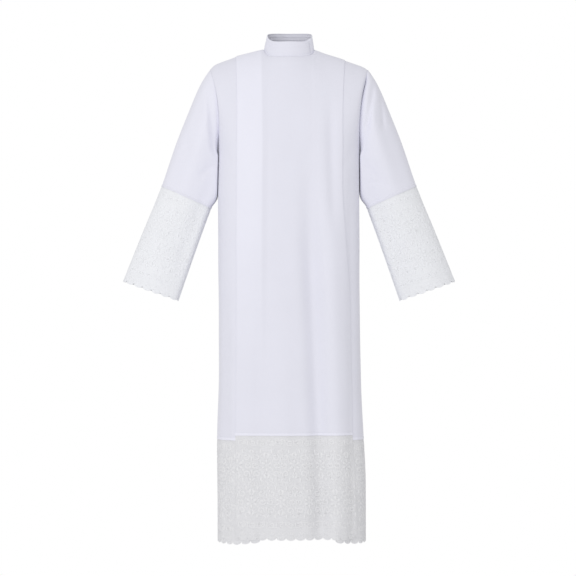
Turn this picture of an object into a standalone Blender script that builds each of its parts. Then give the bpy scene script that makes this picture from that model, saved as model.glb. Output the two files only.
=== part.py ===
"""Alb: a long white vestment with a standing band collar, set-in sleeves, and lace at its hem and cuffs.

The garment is filled out as if worn. Each cut piece is one thin wall of cloth, open at the neck, cuffs,
armholes and hem. Units are metres, +Z is up and the front faces -Y, so the wearer's left is +X. The origin is
the middle of the neck, level with the inner ends of the shoulder seams.
"""

import math

import bmesh
import bpy
import numpy as np

# Cloth.
CLOTH_WALL = 0.0012
LACE_WALL = 0.0010
SEAM_GAP = 0.0003
NECK_CLEARANCE = 0.0019

# Standing band collar: an oval ring, lower in front, that narrows a little towards its top.
NECK_HALF_WIDTH = 0.0725
NECK_HALF_DEPTH = 0.0620
COLLAR_HEIGHT = 0.043
COLLAR_TOP_SHARE = 0.89
COLLAR_LEAN = 0.0016
NECK_SWELL = 0.86
NECK_SWELL_HALF_WIDTH = 0.088
NECK_SOFTENING = 0.45
NECK_SLOPE = 0.019
NECK_DIP = 0.007
LAP_END_ANGLE = math.radians(34)
LAP_LENGTH_ANGLE = math.radians(28)
LAP_STEP = 0.0020

# Shoulder seam, from the neck to the tip of the shoulder.
SHOULDER_LINE = (
    # half width, height of the right shoulder, height of the left shoulder
    (0.0725, 0.0000, 0.0000),
    (0.1000, -0.0064, -0.0112),
    (0.1400, -0.0168, -0.0246),
    (0.1900, -0.0344, -0.0408),
    (0.2150, -0.0450, -0.0502),
    (0.2280, -0.0570, -0.0590),
)

# Armhole: an oval that stands upright beside the chest and bows inwards half way down.
ARMHOLE_TOP = (0.2280, -0.0580)
ARMHOLE_BOTTOM = (0.2045, -0.2900)
ARMHOLE_BOW = 0.0135
ARMHOLE_FRONT = 0.0720
ARMHOLE_BACK = 0.0780
ARMHOLE_REACH = 4

# Body below the armholes. A section is a rounded oval.
BODY_SECTIONS = (
    # height, half width, front depth, back depth, sway to the left
    (-0.290, 0.2045, 0.128, 0.122, 0.0000),
    (-0.450, 0.2038, 0.127, 0.114, -0.0010),
    (-0.750, 0.2038, 0.129, 0.122, 0.0005),
    (-0.950, 0.2055, 0.134, 0.131, 0.0020),
    (-1.110, 0.2110, 0.140, 0.138, 0.0035),
    (-1.250, 0.2140, 0.146, 0.145, 0.0070),
    (-1.410, 0.2135, 0.149, 0.150, 0.0080),
)
SECTION_POWER = 3.2
SHOULDER_ROUND = 1.18
TIP_FLARE_POWER = 5
LACE_SEAM_HEIGHT = -1.107
HEM_HEIGHT = -1.393
SIDE_DROP = 0.004

# Pressed pleat: the centre panel folds under at each side and comes out again beneath itself.
PLEAT_EDGE = 0.1515
PLEAT_INNER = 0.0855
PLEAT_MIDDLE = (PLEAT_EDGE + PLEAT_INNER) / 2
PLEAT_RAMP = 0.0085
PLEAT_DROP = 0.0145
LAYER_STEP = 0.0018
PLEAT_LAYERS = (
    # place on the body, layers beneath, share of the pleat's drop
    (PLEAT_INNER - PLEAT_RAMP, 0, 0),
    (PLEAT_INNER, 2, 0),
    (PLEAT_MIDDLE, 2, 0),
    (PLEAT_EDGE, 2, 0),
    (PLEAT_EDGE, 1, 0),
    (PLEAT_MIDDLE, 1, 0.25),
    (PLEAT_INNER, 1, 0.5),
    (PLEAT_INNER, 0, 0.5),
    (PLEAT_MIDDLE, 0, 0.75),
    (PLEAT_EDGE, 0, 1),
)

# The pleats part as they go down, and the front ones swing to the wearer's left.
FRONT_PLEATS = (
    # height, right pleat's edge, left pleat's edge, both measured from the middle
    (-0.060, 0.1480, 0.1550),
    (-0.380, 0.1470, 0.1520),
    (-0.560, 0.1480, 0.1630),
    (-0.740, 0.1490, 0.1750),
    (-1.070, 0.1540, 0.1780),
    (-1.400, 0.1600, 0.1860),
)
BACK_PLEATS = (
    (-0.060, 0.1515, 0.1515),
    (-0.560, 0.1530, 0.1550),
    (-1.400, 0.1660, 0.1690),
)

# Long soft folds that hang from the chest: below zero is a trough.
FRONT_FOLDS = (
    # place at the top, place at the hem, height it starts, depth at the hem, half width
    (0.060, 0.086, -0.34, -0.0085, 0.020),
    (0.098, 0.128, -0.30, 0.0060, 0.022),
    (-0.020, -0.012, -0.50, 0.0035, 0.030),
    (-0.090, -0.078, -0.55, -0.0040, 0.024),
    (0.176, 0.180, -0.20, -0.0045, 0.014),
)
BACK_FOLDS = (
    (-0.070, -0.092, -0.30, -0.0080, 0.022),
    (-0.030, -0.040, -0.42, 0.0050, 0.026),
    (0.048, 0.066, -0.38, -0.0065, 0.024),
    (0.092, 0.112, -0.50, 0.0040, 0.022),
    (-0.178, -0.182, -0.25, -0.0040, 0.014),
)

# Sleeve, from the armhole (0) to the lace seam (1) to the cuff (2). The outer line is its top edge.
SLEEVE_SECTIONS = (
    # place, outer x, outer z, inner x, inner z, half depth
    (0.00, 0.2280, -0.0580, 0.2045, -0.2900, 0.0750),
    (0.10, 0.2440, -0.0800, 0.2055, -0.3080, 0.0800),
    (0.25, 0.2640, -0.1180, 0.2065, -0.3320, 0.0800),
    (0.45, 0.2900, -0.1800, 0.2072, -0.3680, 0.0760),
    (0.70, 0.3250, -0.2680, 0.2085, -0.4120, 0.0680),
    (1.00, 0.3690, -0.3960, 0.2270, -0.4600, 0.0575),
    (1.50, 0.4240, -0.5300, 0.2740, -0.5900, 0.0520),
    (2.00, 0.4780, -0.6640, 0.3190, -0.7200, 0.0475),
)
SLEEVE_CLEARANCE = 0.0019
SLEEVE_FOLDS = (
    # angle from the outer line towards the front, start, end, depth, half width in radians
    (0.95, 0.02, 0.85, -0.0060, 0.22),
    (1.45, 0.06, 0.80, 0.0045, 0.24),
    (2.35, 0.10, 1.60, -0.0050, 0.30),
    (-1.00, 0.02, 0.90, -0.0060, 0.24),
    (-1.55, 0.08, 0.85, 0.0040, 0.26),
    (-2.40, 0.15, 1.70, -0.0050, 0.30),
)

# Lace edging: its lower edge is a row of round scallops.
SCALLOP_PITCH = 0.0275
SCALLOP_DEPTH = 0.0080
POINTS_A_SCALLOP = 3

WHITE_CLOTH = (0.80, 0.80, 0.88)
WHITE_LACE = (0.78, 0.79, 0.82)


def smooth_between(places, values, at):
    """A smooth curve through a table's values that never overshoots them: cubic between each two rows."""
    places = np.asarray(places, float)
    values = np.asarray(values, float)
    steps = np.diff(places)
    slopes = np.diff(values) / steps
    before, after = slopes[:-1], slopes[1:]
    inner = np.where(before * after > 0, 2 * before * after / (before + after + 1e-12), 0.0)
    tangents = np.concatenate([[slopes[0]], inner, [slopes[-1]]])
    at = np.clip(at, places[0], places[-1])
    row = np.clip(np.searchsorted(places, at) - 1, 0, len(steps) - 1)
    t = (at - places[row]) / steps[row]
    low, high = values[row], values[row + 1]
    return (
        low * (1 + 2 * t) * (1 - t) ** 2
        + high * t * t * (3 - 2 * t)
        + steps[row] * (tangents[row] * t * (1 - t) ** 2 - tangents[row + 1] * t * t * (1 - t))
    )


def read(table, column, at):
    """A column of a table at a place, where the table's first column holds the places in rising order."""
    rows = np.array(sorted(table), float)
    return smooth_between(rows[:, 0], rows[:, column], at)


def eased(t):
    """0 up to 0, 1 from 1 on, and a smooth ramp between."""
    t = np.clip(t, 0, 1)
    return t * t * (3 - 2 * t)


def hump(distance, half_width):
    """A soft bump: 1 in the middle and nearly 0 beyond two half widths."""
    return np.exp(-((distance / half_width) ** 2))


def make_half_section():
    """Half of the unit section, as across and forward shares against the share of its own length."""
    turn = np.linspace(0, math.pi / 2, 1500)
    across = np.sin(turn) ** (2 / SECTION_POWER)
    forward = np.cos(turn) ** (2 / SECTION_POWER)
    _, half_width, front, _, _ = BODY_SECTIONS[0]
    lengths = np.hypot(np.diff(across) * half_width, np.diff(forward) * front)
    share = np.concatenate([[0], np.cumsum(lengths)])
    return share / share[-1], across, forward


HALF_SHARE, HALF_ACROSS, HALF_FORWARD = make_half_section()
CHEST_HALF_WIDTH = BODY_SECTIONS[0][1]


def share_at(half_width):
    """The share of a half section's length at a distance from the middle of the body, at chest level."""
    return float(np.interp(half_width / CHEST_HALF_WIDTH, HALF_ACROSS, HALF_SHARE))


def neck_height(forward):
    """Height of the neck seam: forward is 1 at the front of the neck, 0 at the sides and -1 at the back. It is
    flat across the front and steep at the sides."""
    flatter = np.where(forward > 0, forward * (2 - forward), forward)
    return -NECK_SLOPE * flatter - NECK_DIP * flatter**2


def armhole(down, side):
    """The armhole seam: down runs from 0 at the shoulder to 1 under the arm; side is -1 in front, 1 behind."""
    lean = 1 - 2 * down
    middle = (ARMHOLE_TOP[0] + ARMHOLE_BOTTOM[0]) / 2
    half = (ARMHOLE_TOP[0] - ARMHOLE_BOTTOM[0]) / 2
    out = middle + half * lean - ARMHOLE_BOW * (1 - lean**2)
    reach = ARMHOLE_FRONT if side < 0 else ARMHOLE_BACK
    return out, reach * np.sqrt(np.clip(1 - lean**2, 0, 1))


def fold_relief(side, across, height):
    """How far the long folds push the cloth out of its plain section."""
    total = np.zeros(np.broadcast(across, height).shape)
    for top, hem, start, depth, half_width in FRONT_FOLDS if side < 0 else BACK_FOLDS:
        grown = eased((start - height) / (start - HEM_HEIGHT))
        place = top + (hem - top) * grown
        total = total + depth * grown * hump(across - place, half_width)
    return total


def top_edge(side, across, softened):
    """Depth and height of a panel's top edge: the shoulder seams, and the neck seam between them. softened runs
    from 0, the true edge, to 1, the smooth swell that it becomes a little way down the chest."""
    inside = np.clip(across / (NECK_HALF_WIDTH + NECK_CLEARANCE), -1, 1)
    forward = np.sqrt(1 - inside**2)
    swell = NECK_SWELL * hump(across, NECK_SWELL_HALF_WIDTH)
    forward = forward + (swell - forward) * softened
    depth = forward * (NECK_HALF_DEPTH + NECK_CLEARANCE)
    out = np.abs(across)
    shoulder = np.where(across < 0, read(SHOULDER_LINE, 1, out), read(SHOULDER_LINE, 2, out))
    return depth, shoulder + neck_height(-side * forward)


def parted(side, share, level):
    """Shares moved so that each pleat's edge follows its own line down the body. The middle and the side seams
    stay where they are. The pleat's inner fold stays beside the neck, and moves with its edge further down."""
    table = FRONT_PLEATS if side < 0 else BACK_PLEATS
    height = ARMHOLE_BOTTOM[1] * level / np.maximum(level, 1) - np.maximum(level - 1, 0)
    height = np.minimum(height, FRONT_PLEATS[0][0])
    half_width = read(BODY_SECTIONS, 1, height)
    wanted = np.where(share < 0, read(table, 1, height), read(table, 2, height)) / half_width
    moved = np.interp(wanted, HALF_ACROSS, HALF_SHARE) - share_at(PLEAT_EDGE)
    half = np.abs(share)
    inner, outer = share_at(PLEAT_INNER - PLEAT_RAMP), share_at(PLEAT_EDGE)
    grown = eased(level)
    weight = grown * np.minimum(half / inner, 1) + (1 - grown) * np.clip((half - inner) / (outer - inner), 0, 1)
    weight = np.where(half > outer, np.maximum(1 - half, 0) / (1 - outer), weight)
    return share + np.sign(share) * moved * weight


def plain_panel(side, share, level):
    """A panel's surface with no pleat or fold. share runs from -1 to 1 between the side seams. level runs from
    0 at the top edge to 1 under the arms, and beyond 1 it is 1 plus the distance below."""
    share = parted(side, share, level)
    sign = np.sign(share)
    half = np.abs(share)
    across = sign * np.interp(half, HALF_SHARE, HALF_ACROSS)
    forward = np.interp(half, HALF_SHARE, HALF_FORWARD)

    turn = np.clip(level, 0, 1) * math.pi / 2
    out = np.sin(turn) ** SHOULDER_ROUND
    down = 1 - np.cos(turn) ** SHOULDER_ROUND
    arm_width, arm_depth = armhole(down, side)
    hollow = arm_depth * np.where(down > 0.5, 4 * down * (1 - down), 1)
    arm_depth = hollow * (1 - forward) + (arm_depth - hollow) * (1 - forward) ** ARMHOLE_REACH
    chest_depth = BODY_SECTIONS[0][2 if side < 0 else 3]
    upper_x = CHEST_HALF_WIDTH * across + (arm_width - CHEST_HALF_WIDTH) * across**TIP_FLARE_POWER
    top_x = CHEST_HALF_WIDTH * across
    top_x = top_x + (ARMHOLE_TOP[0] - CHEST_HALF_WIDTH) * across**TIP_FLARE_POWER
    top_depth, top_height = top_edge(side, top_x, eased(level / NECK_SOFTENING))
    upper_depth = arm_depth + top_depth * (1 - out) + chest_depth * out * forward
    upper_z = top_height + (ARMHOLE_BOTTOM[1] - top_height) * down

    lower_z = ARMHOLE_BOTTOM[1] - np.maximum(level - 1, 0)
    lower_x = read(BODY_SECTIONS, 4, lower_z) + read(BODY_SECTIONS, 1, lower_z) * across
    lower_depth = read(BODY_SECTIONS, 2 if side < 0 else 3, lower_z) * forward

    low = level > 1
    x = np.where(low, lower_x, upper_x)
    y = side * np.where(low, lower_depth, upper_depth)
    z = np.where(low, lower_z, upper_z)
    return np.stack(np.broadcast_arrays(x, y, z), axis=-1)


def panel(side, share, layers, level):
    """A panel's surface with its pleats and folds: the plain surface moved along its own normal."""
    step = 1e-4
    middle = plain_panel(side, share, level)
    along = plain_panel(side, share + step, level) - plain_panel(side, share - step, level)
    behind = np.where(level < 1, np.abs(level - step), level)
    downward = plain_panel(side, share, level + step) - plain_panel(side, share, behind)
    normal = np.cross(along, downward) * side
    normal /= np.linalg.norm(normal, axis=-1, keepdims=True) + 1e-12
    rise = layers * LAYER_STEP + fold_relief(side, middle[..., 0], middle[..., 2])
    return middle + normal * rise[..., None]


def half_columns():
    """Columns of half a panel from its middle to its side seam: share, layers beneath and share of the drop."""
    neck_edge = NECK_HALF_WIDTH + NECK_CLEARANCE
    neck = [neck_edge * math.sin(math.radians(angle)) for angle in (0, 18, 36, 54, 72, 90)]
    rows = [(share_at(place), 0, 0) for place in neck]
    rows += [(share_at(place), layers, drop) for place, layers, drop in PLEAT_LAYERS]
    side_shares = np.linspace(share_at(PLEAT_EDGE), 1, 8)[1:]
    return rows + [(share, 0, 1) for share in side_shares]


def whole_columns(half):
    """Both halves of a panel, from the right side seam to the left one."""
    half = np.array(half)
    mirrored = half[:0:-1] * (-1, 1, 1)
    return np.concatenate([mirrored, half]).T


def finer(columns, lengths, spacing):
    """More columns along the cloth, no further apart than spacing, with every given column kept."""
    places = [0]
    for index, length in enumerate(lengths):
        parts = max(1, round(length / spacing))
        places += [index + (part + 1) / parts for part in range(parts)]
    given = np.arange(len(lengths) + 1)
    return np.array([np.interp(places, given, row) for row in columns])


def drop_below(share, dropped):
    """How much lower than in the middle the lace seam and the hem hang, beyond the pleats and at the sides."""
    return SIDE_DROP * np.abs(share) ** 3 + PLEAT_DROP * dropped


def scallop(along):
    """How far a scallop hangs down, at a distance along the lace's edge."""
    place = (along / SCALLOP_PITCH) % 1
    return SCALLOP_DEPTH * np.sqrt(np.clip(1 - (2 * place - 1) ** 2, 0, 1))


def path_lengths(points):
    """Distances along a row of points, from its start."""
    return np.concatenate([[0], np.cumsum(np.linalg.norm(np.diff(points, axis=0), axis=1))])


def whole_number_pitch(length):
    """The scallop pitch nearest the usual one that fits a whole number of scallops into a length."""
    return length / round(length / SCALLOP_PITCH)


def armhole_angle(angle):
    """The armhole seam at an angle: 0 at the shoulder, a quarter turn in front, half a turn under the arm."""
    down = (1 - np.cos(angle)) / 2
    height = ARMHOLE_TOP[1] + (ARMHOLE_BOTTOM[1] - ARMHOLE_TOP[1]) * down
    out = np.where(np.sin(angle) > 0, armhole(down, -1)[0], armhole(down, 1)[0])
    depth = np.where(np.sin(angle) > 0, -armhole(down, -1)[1], armhole(down, 1)[1])
    return np.stack([out, depth, height], axis=-1)


def sleeve(angle, place):
    """The left sleeve's surface. angle is 0 on its outer line and a quarter turn in front. place runs from 0 at
    the armhole to 1 at the lace seam and 2 at the cuff."""
    outer = np.stack([read(SLEEVE_SECTIONS, 1, place), read(SLEEVE_SECTIONS, 2, place)], axis=-1)
    inner = np.stack([read(SLEEVE_SECTIONS, 3, place), read(SLEEVE_SECTIONS, 4, place)], axis=-1)
    middle, half = (outer + inner) / 2, (outer - inner) / 2
    depth = read(SLEEVE_SECTIONS, 5, place)
    reach = np.linalg.norm(half, axis=-1)
    swell = np.ones(np.broadcast(angle, place).shape)
    for centre, start, end, height, half_width in SLEEVE_FOLDS:
        grown = eased((place - start) / 0.2) * (1 - eased((place - end) / 0.3))
        turned = (angle - centre + math.pi) % (2 * math.pi) - math.pi
        swell = swell + height / reach * grown * hump(turned, half_width)
    cosine, sine = np.cos(angle) * swell, np.sin(angle) * swell
    ring = np.stack(
        [middle[..., 0] + half[..., 0] * cosine, -depth * sine, middle[..., 1] + half[..., 1] * cosine], axis=-1
    )
    start = armhole_angle(angle)
    joined = eased(place / 0.18)[..., None]
    return start + (ring - start) * joined + (SLEEVE_CLEARANCE, 0, 0)


def clear_scene():
    for thing in list(bpy.data.objects):
        bpy.data.objects.remove(thing)


def cloth_material(name, colour, roughness):
    material = bpy.data.materials.new(name)
    material.use_nodes = True
    shader = material.node_tree.nodes["Principled BSDF"]
    shader.inputs["Base Color"].default_value = (*colour, 1)
    shader.inputs["Roughness"].default_value = roughness
    shader.inputs["Metallic"].default_value = 0
    return material


def sheet_object(name, points, wall, material, ring=False, flip=False):
    """An object from rows of points, joined by quads and given its wall by Solidify. A ring closes each row."""
    rows, columns = points.shape[:2]
    mesh = bpy.data.meshes.new(name)
    shape = bmesh.new()
    corners = [[shape.verts.new(point) for point in row] for row in points]
    last = columns if ring else columns - 1
    for row in range(rows - 1):
        for column in range(last):
            after = (column + 1) % columns
            quad = [
                corners[row][column],
                corners[row + 1][column],
                corners[row + 1][after],
                corners[row][after],
            ]
            shape.faces.new(quad[::-1] if flip else quad)
    shape.to_mesh(mesh)
    shape.free()
    mesh.materials.append(material)
    mesh.shade_smooth()
    mesh.set_sharp_from_angle(angle=math.radians(50))
    thing = bpy.data.objects.new(name, mesh)
    bpy.context.scene.collection.objects.link(thing)
    solidify = thing.modifiers.new("Cloth wall", "SOLIDIFY")
    solidify.thickness = wall
    solidify.offset = 0
    solidify.use_even_offset = True
    return thing


def make_panel(name, side, material):
    """Front or back panel: shoulder and neck seams at its top, armholes and side seams, pleats to the lace."""
    share, layers, dropped = whole_columns(half_columns())
    share = share * (1 - SEAM_GAP)
    upper = np.array([0, 0.16, 0.34, 0.52, 0.68, 0.84, 1])[:, None]
    foot = ARMHOLE_BOTTOM[1] - LACE_SEAM_HEIGHT + drop_below(share, dropped) - SEAM_GAP
    lower = np.array([0.22, 0.46, 0.72, 1])[:, None] * foot + 1
    level = np.concatenate([np.broadcast_to(upper, (len(upper), share.size)), lower])
    points = panel(side, share, layers, level)
    points[..., 1] += side * (CLOTH_WALL / 2 * np.exp(-level * 12) + SEAM_GAP / 2)
    return sheet_object(name, points, CLOTH_WALL, material, flip=side > 0)


def make_hem_lace(name, side, material):
    """Front or back length of the hem lace, pleated with its panel, with a whole number of scallops."""
    columns = whole_columns(half_columns())
    foot = 1 + ARMHOLE_BOTTOM[1] - HEM_HEIGHT
    edge = panel(side, columns[0], columns[1], foot)
    share, layers, dropped = finer(columns, np.diff(path_lengths(edge)), SCALLOP_PITCH / POINTS_A_SCALLOP)
    edge = panel(side, share, layers, foot)
    along = path_lengths(edge)
    hanging = scallop(along * SCALLOP_PITCH / whole_number_pitch(along[-1]))
    share = share * (1 - SEAM_GAP)
    drop = ARMHOLE_BOTTOM[1] + drop_below(share, dropped)
    top = drop - LACE_SEAM_HEIGHT
    foot = drop - HEM_HEIGHT
    level = 1 + np.stack([top, foot, foot + hanging])
    points = panel(side, share, layers, level)
    points[..., 1] += side * SEAM_GAP / 2
    return sheet_object(name, points, LACE_WALL, material, flip=side > 0)


def make_sleeve(name, hand, material):
    """Cloth part of a sleeve, from the armhole to the lace seam. hand is 1 for the left and -1 for the right."""
    angle = np.linspace(0, 2 * math.pi, 26, endpoint=False)[None, :]
    place = np.array([0, 0.1, 0.22, 0.36, 0.52, 0.68, 0.84, 1])[:, None]
    place, angle = np.broadcast_arrays(place, angle)
    points = sleeve(angle, place) * (hand, 1, 1)
    return sheet_object(name, points, CLOTH_WALL, material, ring=True, flip=hand < 0)


def make_sleeve_lace(name, hand, material):
    """Lace part of a sleeve, from just below the lace seam to its scalloped edge."""
    coarse = np.linspace(0, 2 * math.pi, 400)
    along = path_lengths(sleeve(coarse, np.full(400, 2.0)))
    scallops = round(along[-1] / SCALLOP_PITCH)
    even = np.linspace(0, along[-1], scallops * POINTS_A_SCALLOP, endpoint=False)
    angle = np.interp(even, along, coarse)
    seam, cuff = sleeve(angle, np.full(angle.size, 1.0)), sleeve(angle, np.full(angle.size, 2.0))
    length = np.linalg.norm(cuff - seam, axis=1)
    hanging = scallop(even * scallops * SCALLOP_PITCH / along[-1])
    start = 1 + SEAM_GAP / length
    end = 2 + 0 * length
    place = np.stack([start, end])
    points = sleeve(np.broadcast_to(angle, place.shape), place)
    run = (points[1] - points[0]) / np.linalg.norm(points[1] - points[0], axis=1, keepdims=True)
    points = np.concatenate([points, (points[1] + run * hanging[:, None])[None]]) * (hand, 1, 1)
    return sheet_object(name, points, LACE_WALL, material, ring=True, flip=hand < 0)


def make_collar(name, material):
    """Standing band: from its lapped front end at the left shoulder, round the front, the right shoulder and
    the back, and on beneath itself."""
    turned = np.linspace(0, 2 * math.pi + LAP_LENGTH_ANGLE, 44)
    angle = turned + LAP_END_ANGLE
    forward, across = np.sin(angle), np.cos(angle)
    tucked = LAP_STEP * eased((turned - 2 * math.pi + LAP_LENGTH_ANGLE) / LAP_LENGTH_ANGLE)
    rows = []
    for height in (0, 0.5, 1):
        narrowed = 1 + (COLLAR_TOP_SHARE - 1) * height
        x = across * (NECK_HALF_WIDTH * narrowed - tucked) + COLLAR_LEAN * height
        y = -forward * (NECK_HALF_DEPTH * narrowed - tucked)
        z = neck_height(forward) + COLLAR_HEIGHT * height
        rows.append(np.stack([x, y, z], axis=-1))
    return sheet_object(name, np.array(rows[::-1]), CLOTH_WALL, material, flip=True)


def main():
    clear_scene()
    cloth = cloth_material("White cloth", WHITE_CLOTH, 0.72)
    lace = cloth_material("White lace", WHITE_LACE, 0.85)
    for word, side in (("front", -1), ("back", 1)):
        make_panel(f"{word}_panel", side, cloth)
        make_hem_lace(f"hem_lace_{word}", side, lace)
    for word, hand in (("left", 1), ("right", -1)):
        make_sleeve(f"sleeve_{word}", hand, cloth)
        make_sleeve_lace(f"sleeve_lace_{word}", hand, lace)
    make_collar("collar_band", cloth)


main()
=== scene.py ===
"""Looks of the alb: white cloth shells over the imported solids, and scalloped lace drawn thread by thread.

Units are metres, +Z is up and the front faces -Y, so the wearer's left is +X. side is -1 for the front and 1
for the back; hand is 1 for the left and -1 for the right.
"""

import math

import bpy
import numpy as np
from bpy.props import FloatProperty, FloatVectorProperty, IntProperty, PointerProperty
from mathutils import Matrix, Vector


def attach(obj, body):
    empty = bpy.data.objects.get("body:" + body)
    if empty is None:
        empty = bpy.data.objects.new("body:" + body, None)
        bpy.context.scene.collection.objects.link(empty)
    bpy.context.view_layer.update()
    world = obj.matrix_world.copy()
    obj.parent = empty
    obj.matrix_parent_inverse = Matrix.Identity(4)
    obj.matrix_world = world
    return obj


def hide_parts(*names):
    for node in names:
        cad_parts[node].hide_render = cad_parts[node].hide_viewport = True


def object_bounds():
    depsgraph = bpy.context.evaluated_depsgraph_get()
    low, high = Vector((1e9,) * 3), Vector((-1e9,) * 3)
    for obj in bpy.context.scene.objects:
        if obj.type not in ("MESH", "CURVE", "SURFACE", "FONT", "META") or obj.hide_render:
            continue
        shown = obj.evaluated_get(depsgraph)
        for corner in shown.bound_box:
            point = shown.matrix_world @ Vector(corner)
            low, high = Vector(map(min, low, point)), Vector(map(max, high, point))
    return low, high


bl_info = {
    "name": "Alb",
    "version": (1, 0, 0),
    "blender": (4, 5, 0),
    "location": "3D View > Sidebar > Alb",
    "description": "Makes the cloth, the lace and the stage of a white alb around its packed solids",
    "category": "Add Mesh",
}

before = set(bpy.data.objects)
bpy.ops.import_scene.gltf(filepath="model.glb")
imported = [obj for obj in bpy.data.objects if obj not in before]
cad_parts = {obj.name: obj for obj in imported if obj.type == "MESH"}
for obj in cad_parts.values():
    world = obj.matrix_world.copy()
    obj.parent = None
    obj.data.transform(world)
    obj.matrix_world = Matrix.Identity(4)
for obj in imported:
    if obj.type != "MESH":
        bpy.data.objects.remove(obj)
CAD_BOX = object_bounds()

BODY = "root"
UV_NAME = "Cloth"
FULLNESS_AND_SHADE = "Fullness_and_painted_shade"
MILLIMETRE = 0.001
TURN = 2 * math.pi
TINY = 1e-12  # keeps a division by a length from failing at zero
SLOPE_STEP = 1e-4  # how far apart the points lie that give a surface's slope

# Standing band collar: an oval ring, lower in front, that narrows a little towards its top.
NECK_HALF_WIDTH = 0.0725
NECK_HALF_DEPTH = 0.0620
NECK_CLEARANCE = 0.0008
NECK_SLOPE = 0.019
NECK_DIP = 0.007
COLLAR_HEIGHT = 0.043
COLLAR_TOP_SHARE = 0.89
COLLAR_LEAN = 0.0016
LAP_END_ANGLE = math.radians(34)
LAP_LENGTH_ANGLE = math.radians(28)
LAP_STEP = 0.0080
LAP_REST = 0.0034
LAP_SINK_ANGLE = math.radians(20)
LAP_FOOT_SHARE = 0.2  # share of the lap's step that is left at the foot of the band
LAP_RISE = 1.6  # the step is full from 1 / 1.6 of the band's height up
COLLAR_FOOT = 0.0016
COLLAR_LINES = (0.0080, 0.0170, 0.0375)
COLLAR_DINTS = (
    # distance below the top edge, depth, half width: both edges are rounded, and stitches lie in a dint
    (1.04 * COLLAR_HEIGHT, 0.0005, 0.0014),
    (0.0, 0.0006, 0.0012),
    *((line, 0.0007, 0.0016) for line in COLLAR_LINES),
)
NECK_SWELL = 0.86
NECK_SWELL_HALF_WIDTH = 0.088
NECK_SOFTENING = 0.45

SHOULDER_LINE = (
    # half width, height of the right shoulder, height of the left shoulder
    (0.0725, 0.0000, 0.0000),
    (0.1000, -0.0064, -0.0112),
    (0.1400, -0.0168, -0.0246),
    (0.1900, -0.0344, -0.0408),
    (0.2150, -0.0450, -0.0502),
    (0.2280, -0.0570, -0.0590),
)

ARMHOLE_TOP = (0.2280, -0.0580)
ARMHOLE_BOTTOM = (0.2045, -0.2900)
ARMHOLE_BOW = 0.0135
ARMHOLE_DEPTH = {-1: 0.0720, 1: 0.0780}
ARMHOLE_REACH = 4
ARMHOLE_CENTRE = (0.21625, 0.0, -0.1740)
ARMHOLE_RADIUS = 0.090

# Body below the armholes. A section is a rounded oval.
BODY_SECTIONS = (
    # height, half width, front depth, back depth, sway to the left: columns 0 to 4
    (-0.290, 0.2045, 0.128, 0.122, 0.0000),
    (-0.450, 0.2038, 0.127, 0.114, -0.0010),
    (-0.750, 0.2038, 0.129, 0.122, 0.0005),
    (-0.950, 0.2055, 0.134, 0.131, 0.0020),
    (-1.110, 0.2110, 0.140, 0.138, 0.0035),
    (-1.250, 0.2140, 0.146, 0.145, 0.0070),
    (-1.410, 0.2135, 0.149, 0.150, 0.0080),
)
HALF_WIDTHS, DEPTHS, SWAYS = 1, {-1: 2, 1: 3}, 4
SECTION_POWER = 3.2
SECTION_POINTS = 1500
CHEST_ROWS = 40
EDGE_ROWS = 16  # rows of a panel that hold its turned edge
STITCHED_ROW = 8  # the row, counted from the foot, along which its stitches are measured
SHOULDER_LAP_FADE = 12  # how fast the half wall by which a panel stands out at its top edge goes to nothing
SHOULDER_ROUND = 1.18
TIP_FLARE_POWER = 5
LACE_SEAM_HEIGHT = -1.107
HEM_HEIGHT = -1.393
SIDE_DROP = 0.004
SEAM_GAP = 0.0003

# Pressed pleat: the centre panel folds under at each side and comes out again beneath itself.
PLEAT_EDGE = 0.1515
PLEAT_INNER = 0.0855
PLEAT_RAMP = 0.0260
PLEAT_DROP = 0.0145
LAYER_STEP = 0.0010
FOLD_RADIUS = 0.0008
NEAR_SIDE_SEAM = (0.970, 0.980, 0.990, 0.995)
PLEATS = {
    -1: (
        # height, right pleat's edge, left pleat's edge, both measured from the middle
        (-0.060, 0.1480, 0.1550),
        (-0.380, 0.1470, 0.1520),
        (-0.560, 0.1480, 0.1630),
        (-0.740, 0.1490, 0.1750),
        (-1.070, 0.1540, 0.1780),
        (-1.400, 0.1600, 0.1860),
    ),
    1: (
        (-0.060, 0.1515, 0.1515),
        (-0.560, 0.1530, 0.1550),
        (-1.400, 0.1660, 0.1690),
    ),
}

# Long soft folds that hang from the chest: below zero is a trough. Each is full this far below its start.
FOLD_GROWTH = 0.42
FOLDS = {
    -1: (
        # place at the top, place at the hem, height it starts, full depth, half width
        (0.054, 0.090, -0.26, -0.0190, 0.026),
        (0.116, 0.140, -0.26, 0.0070, 0.027),
        (-0.020, -0.012, -0.50, 0.0035, 0.030),
        (-0.090, -0.078, -0.55, -0.0040, 0.024),
        (0.176, 0.180, -0.20, -0.0045, 0.014),
        (-0.182, -0.180, -0.45, -0.0045, 0.016),
    ),
    1: (
        (-0.070, -0.092, -0.30, -0.0080, 0.022),
        (-0.030, -0.040, -0.42, 0.0050, 0.026),
        (0.048, 0.066, -0.38, -0.0065, 0.024),
        (0.092, 0.112, -0.50, 0.0040, 0.022),
        (-0.178, -0.182, -0.25, -0.0040, 0.014),
    ),
}
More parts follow.
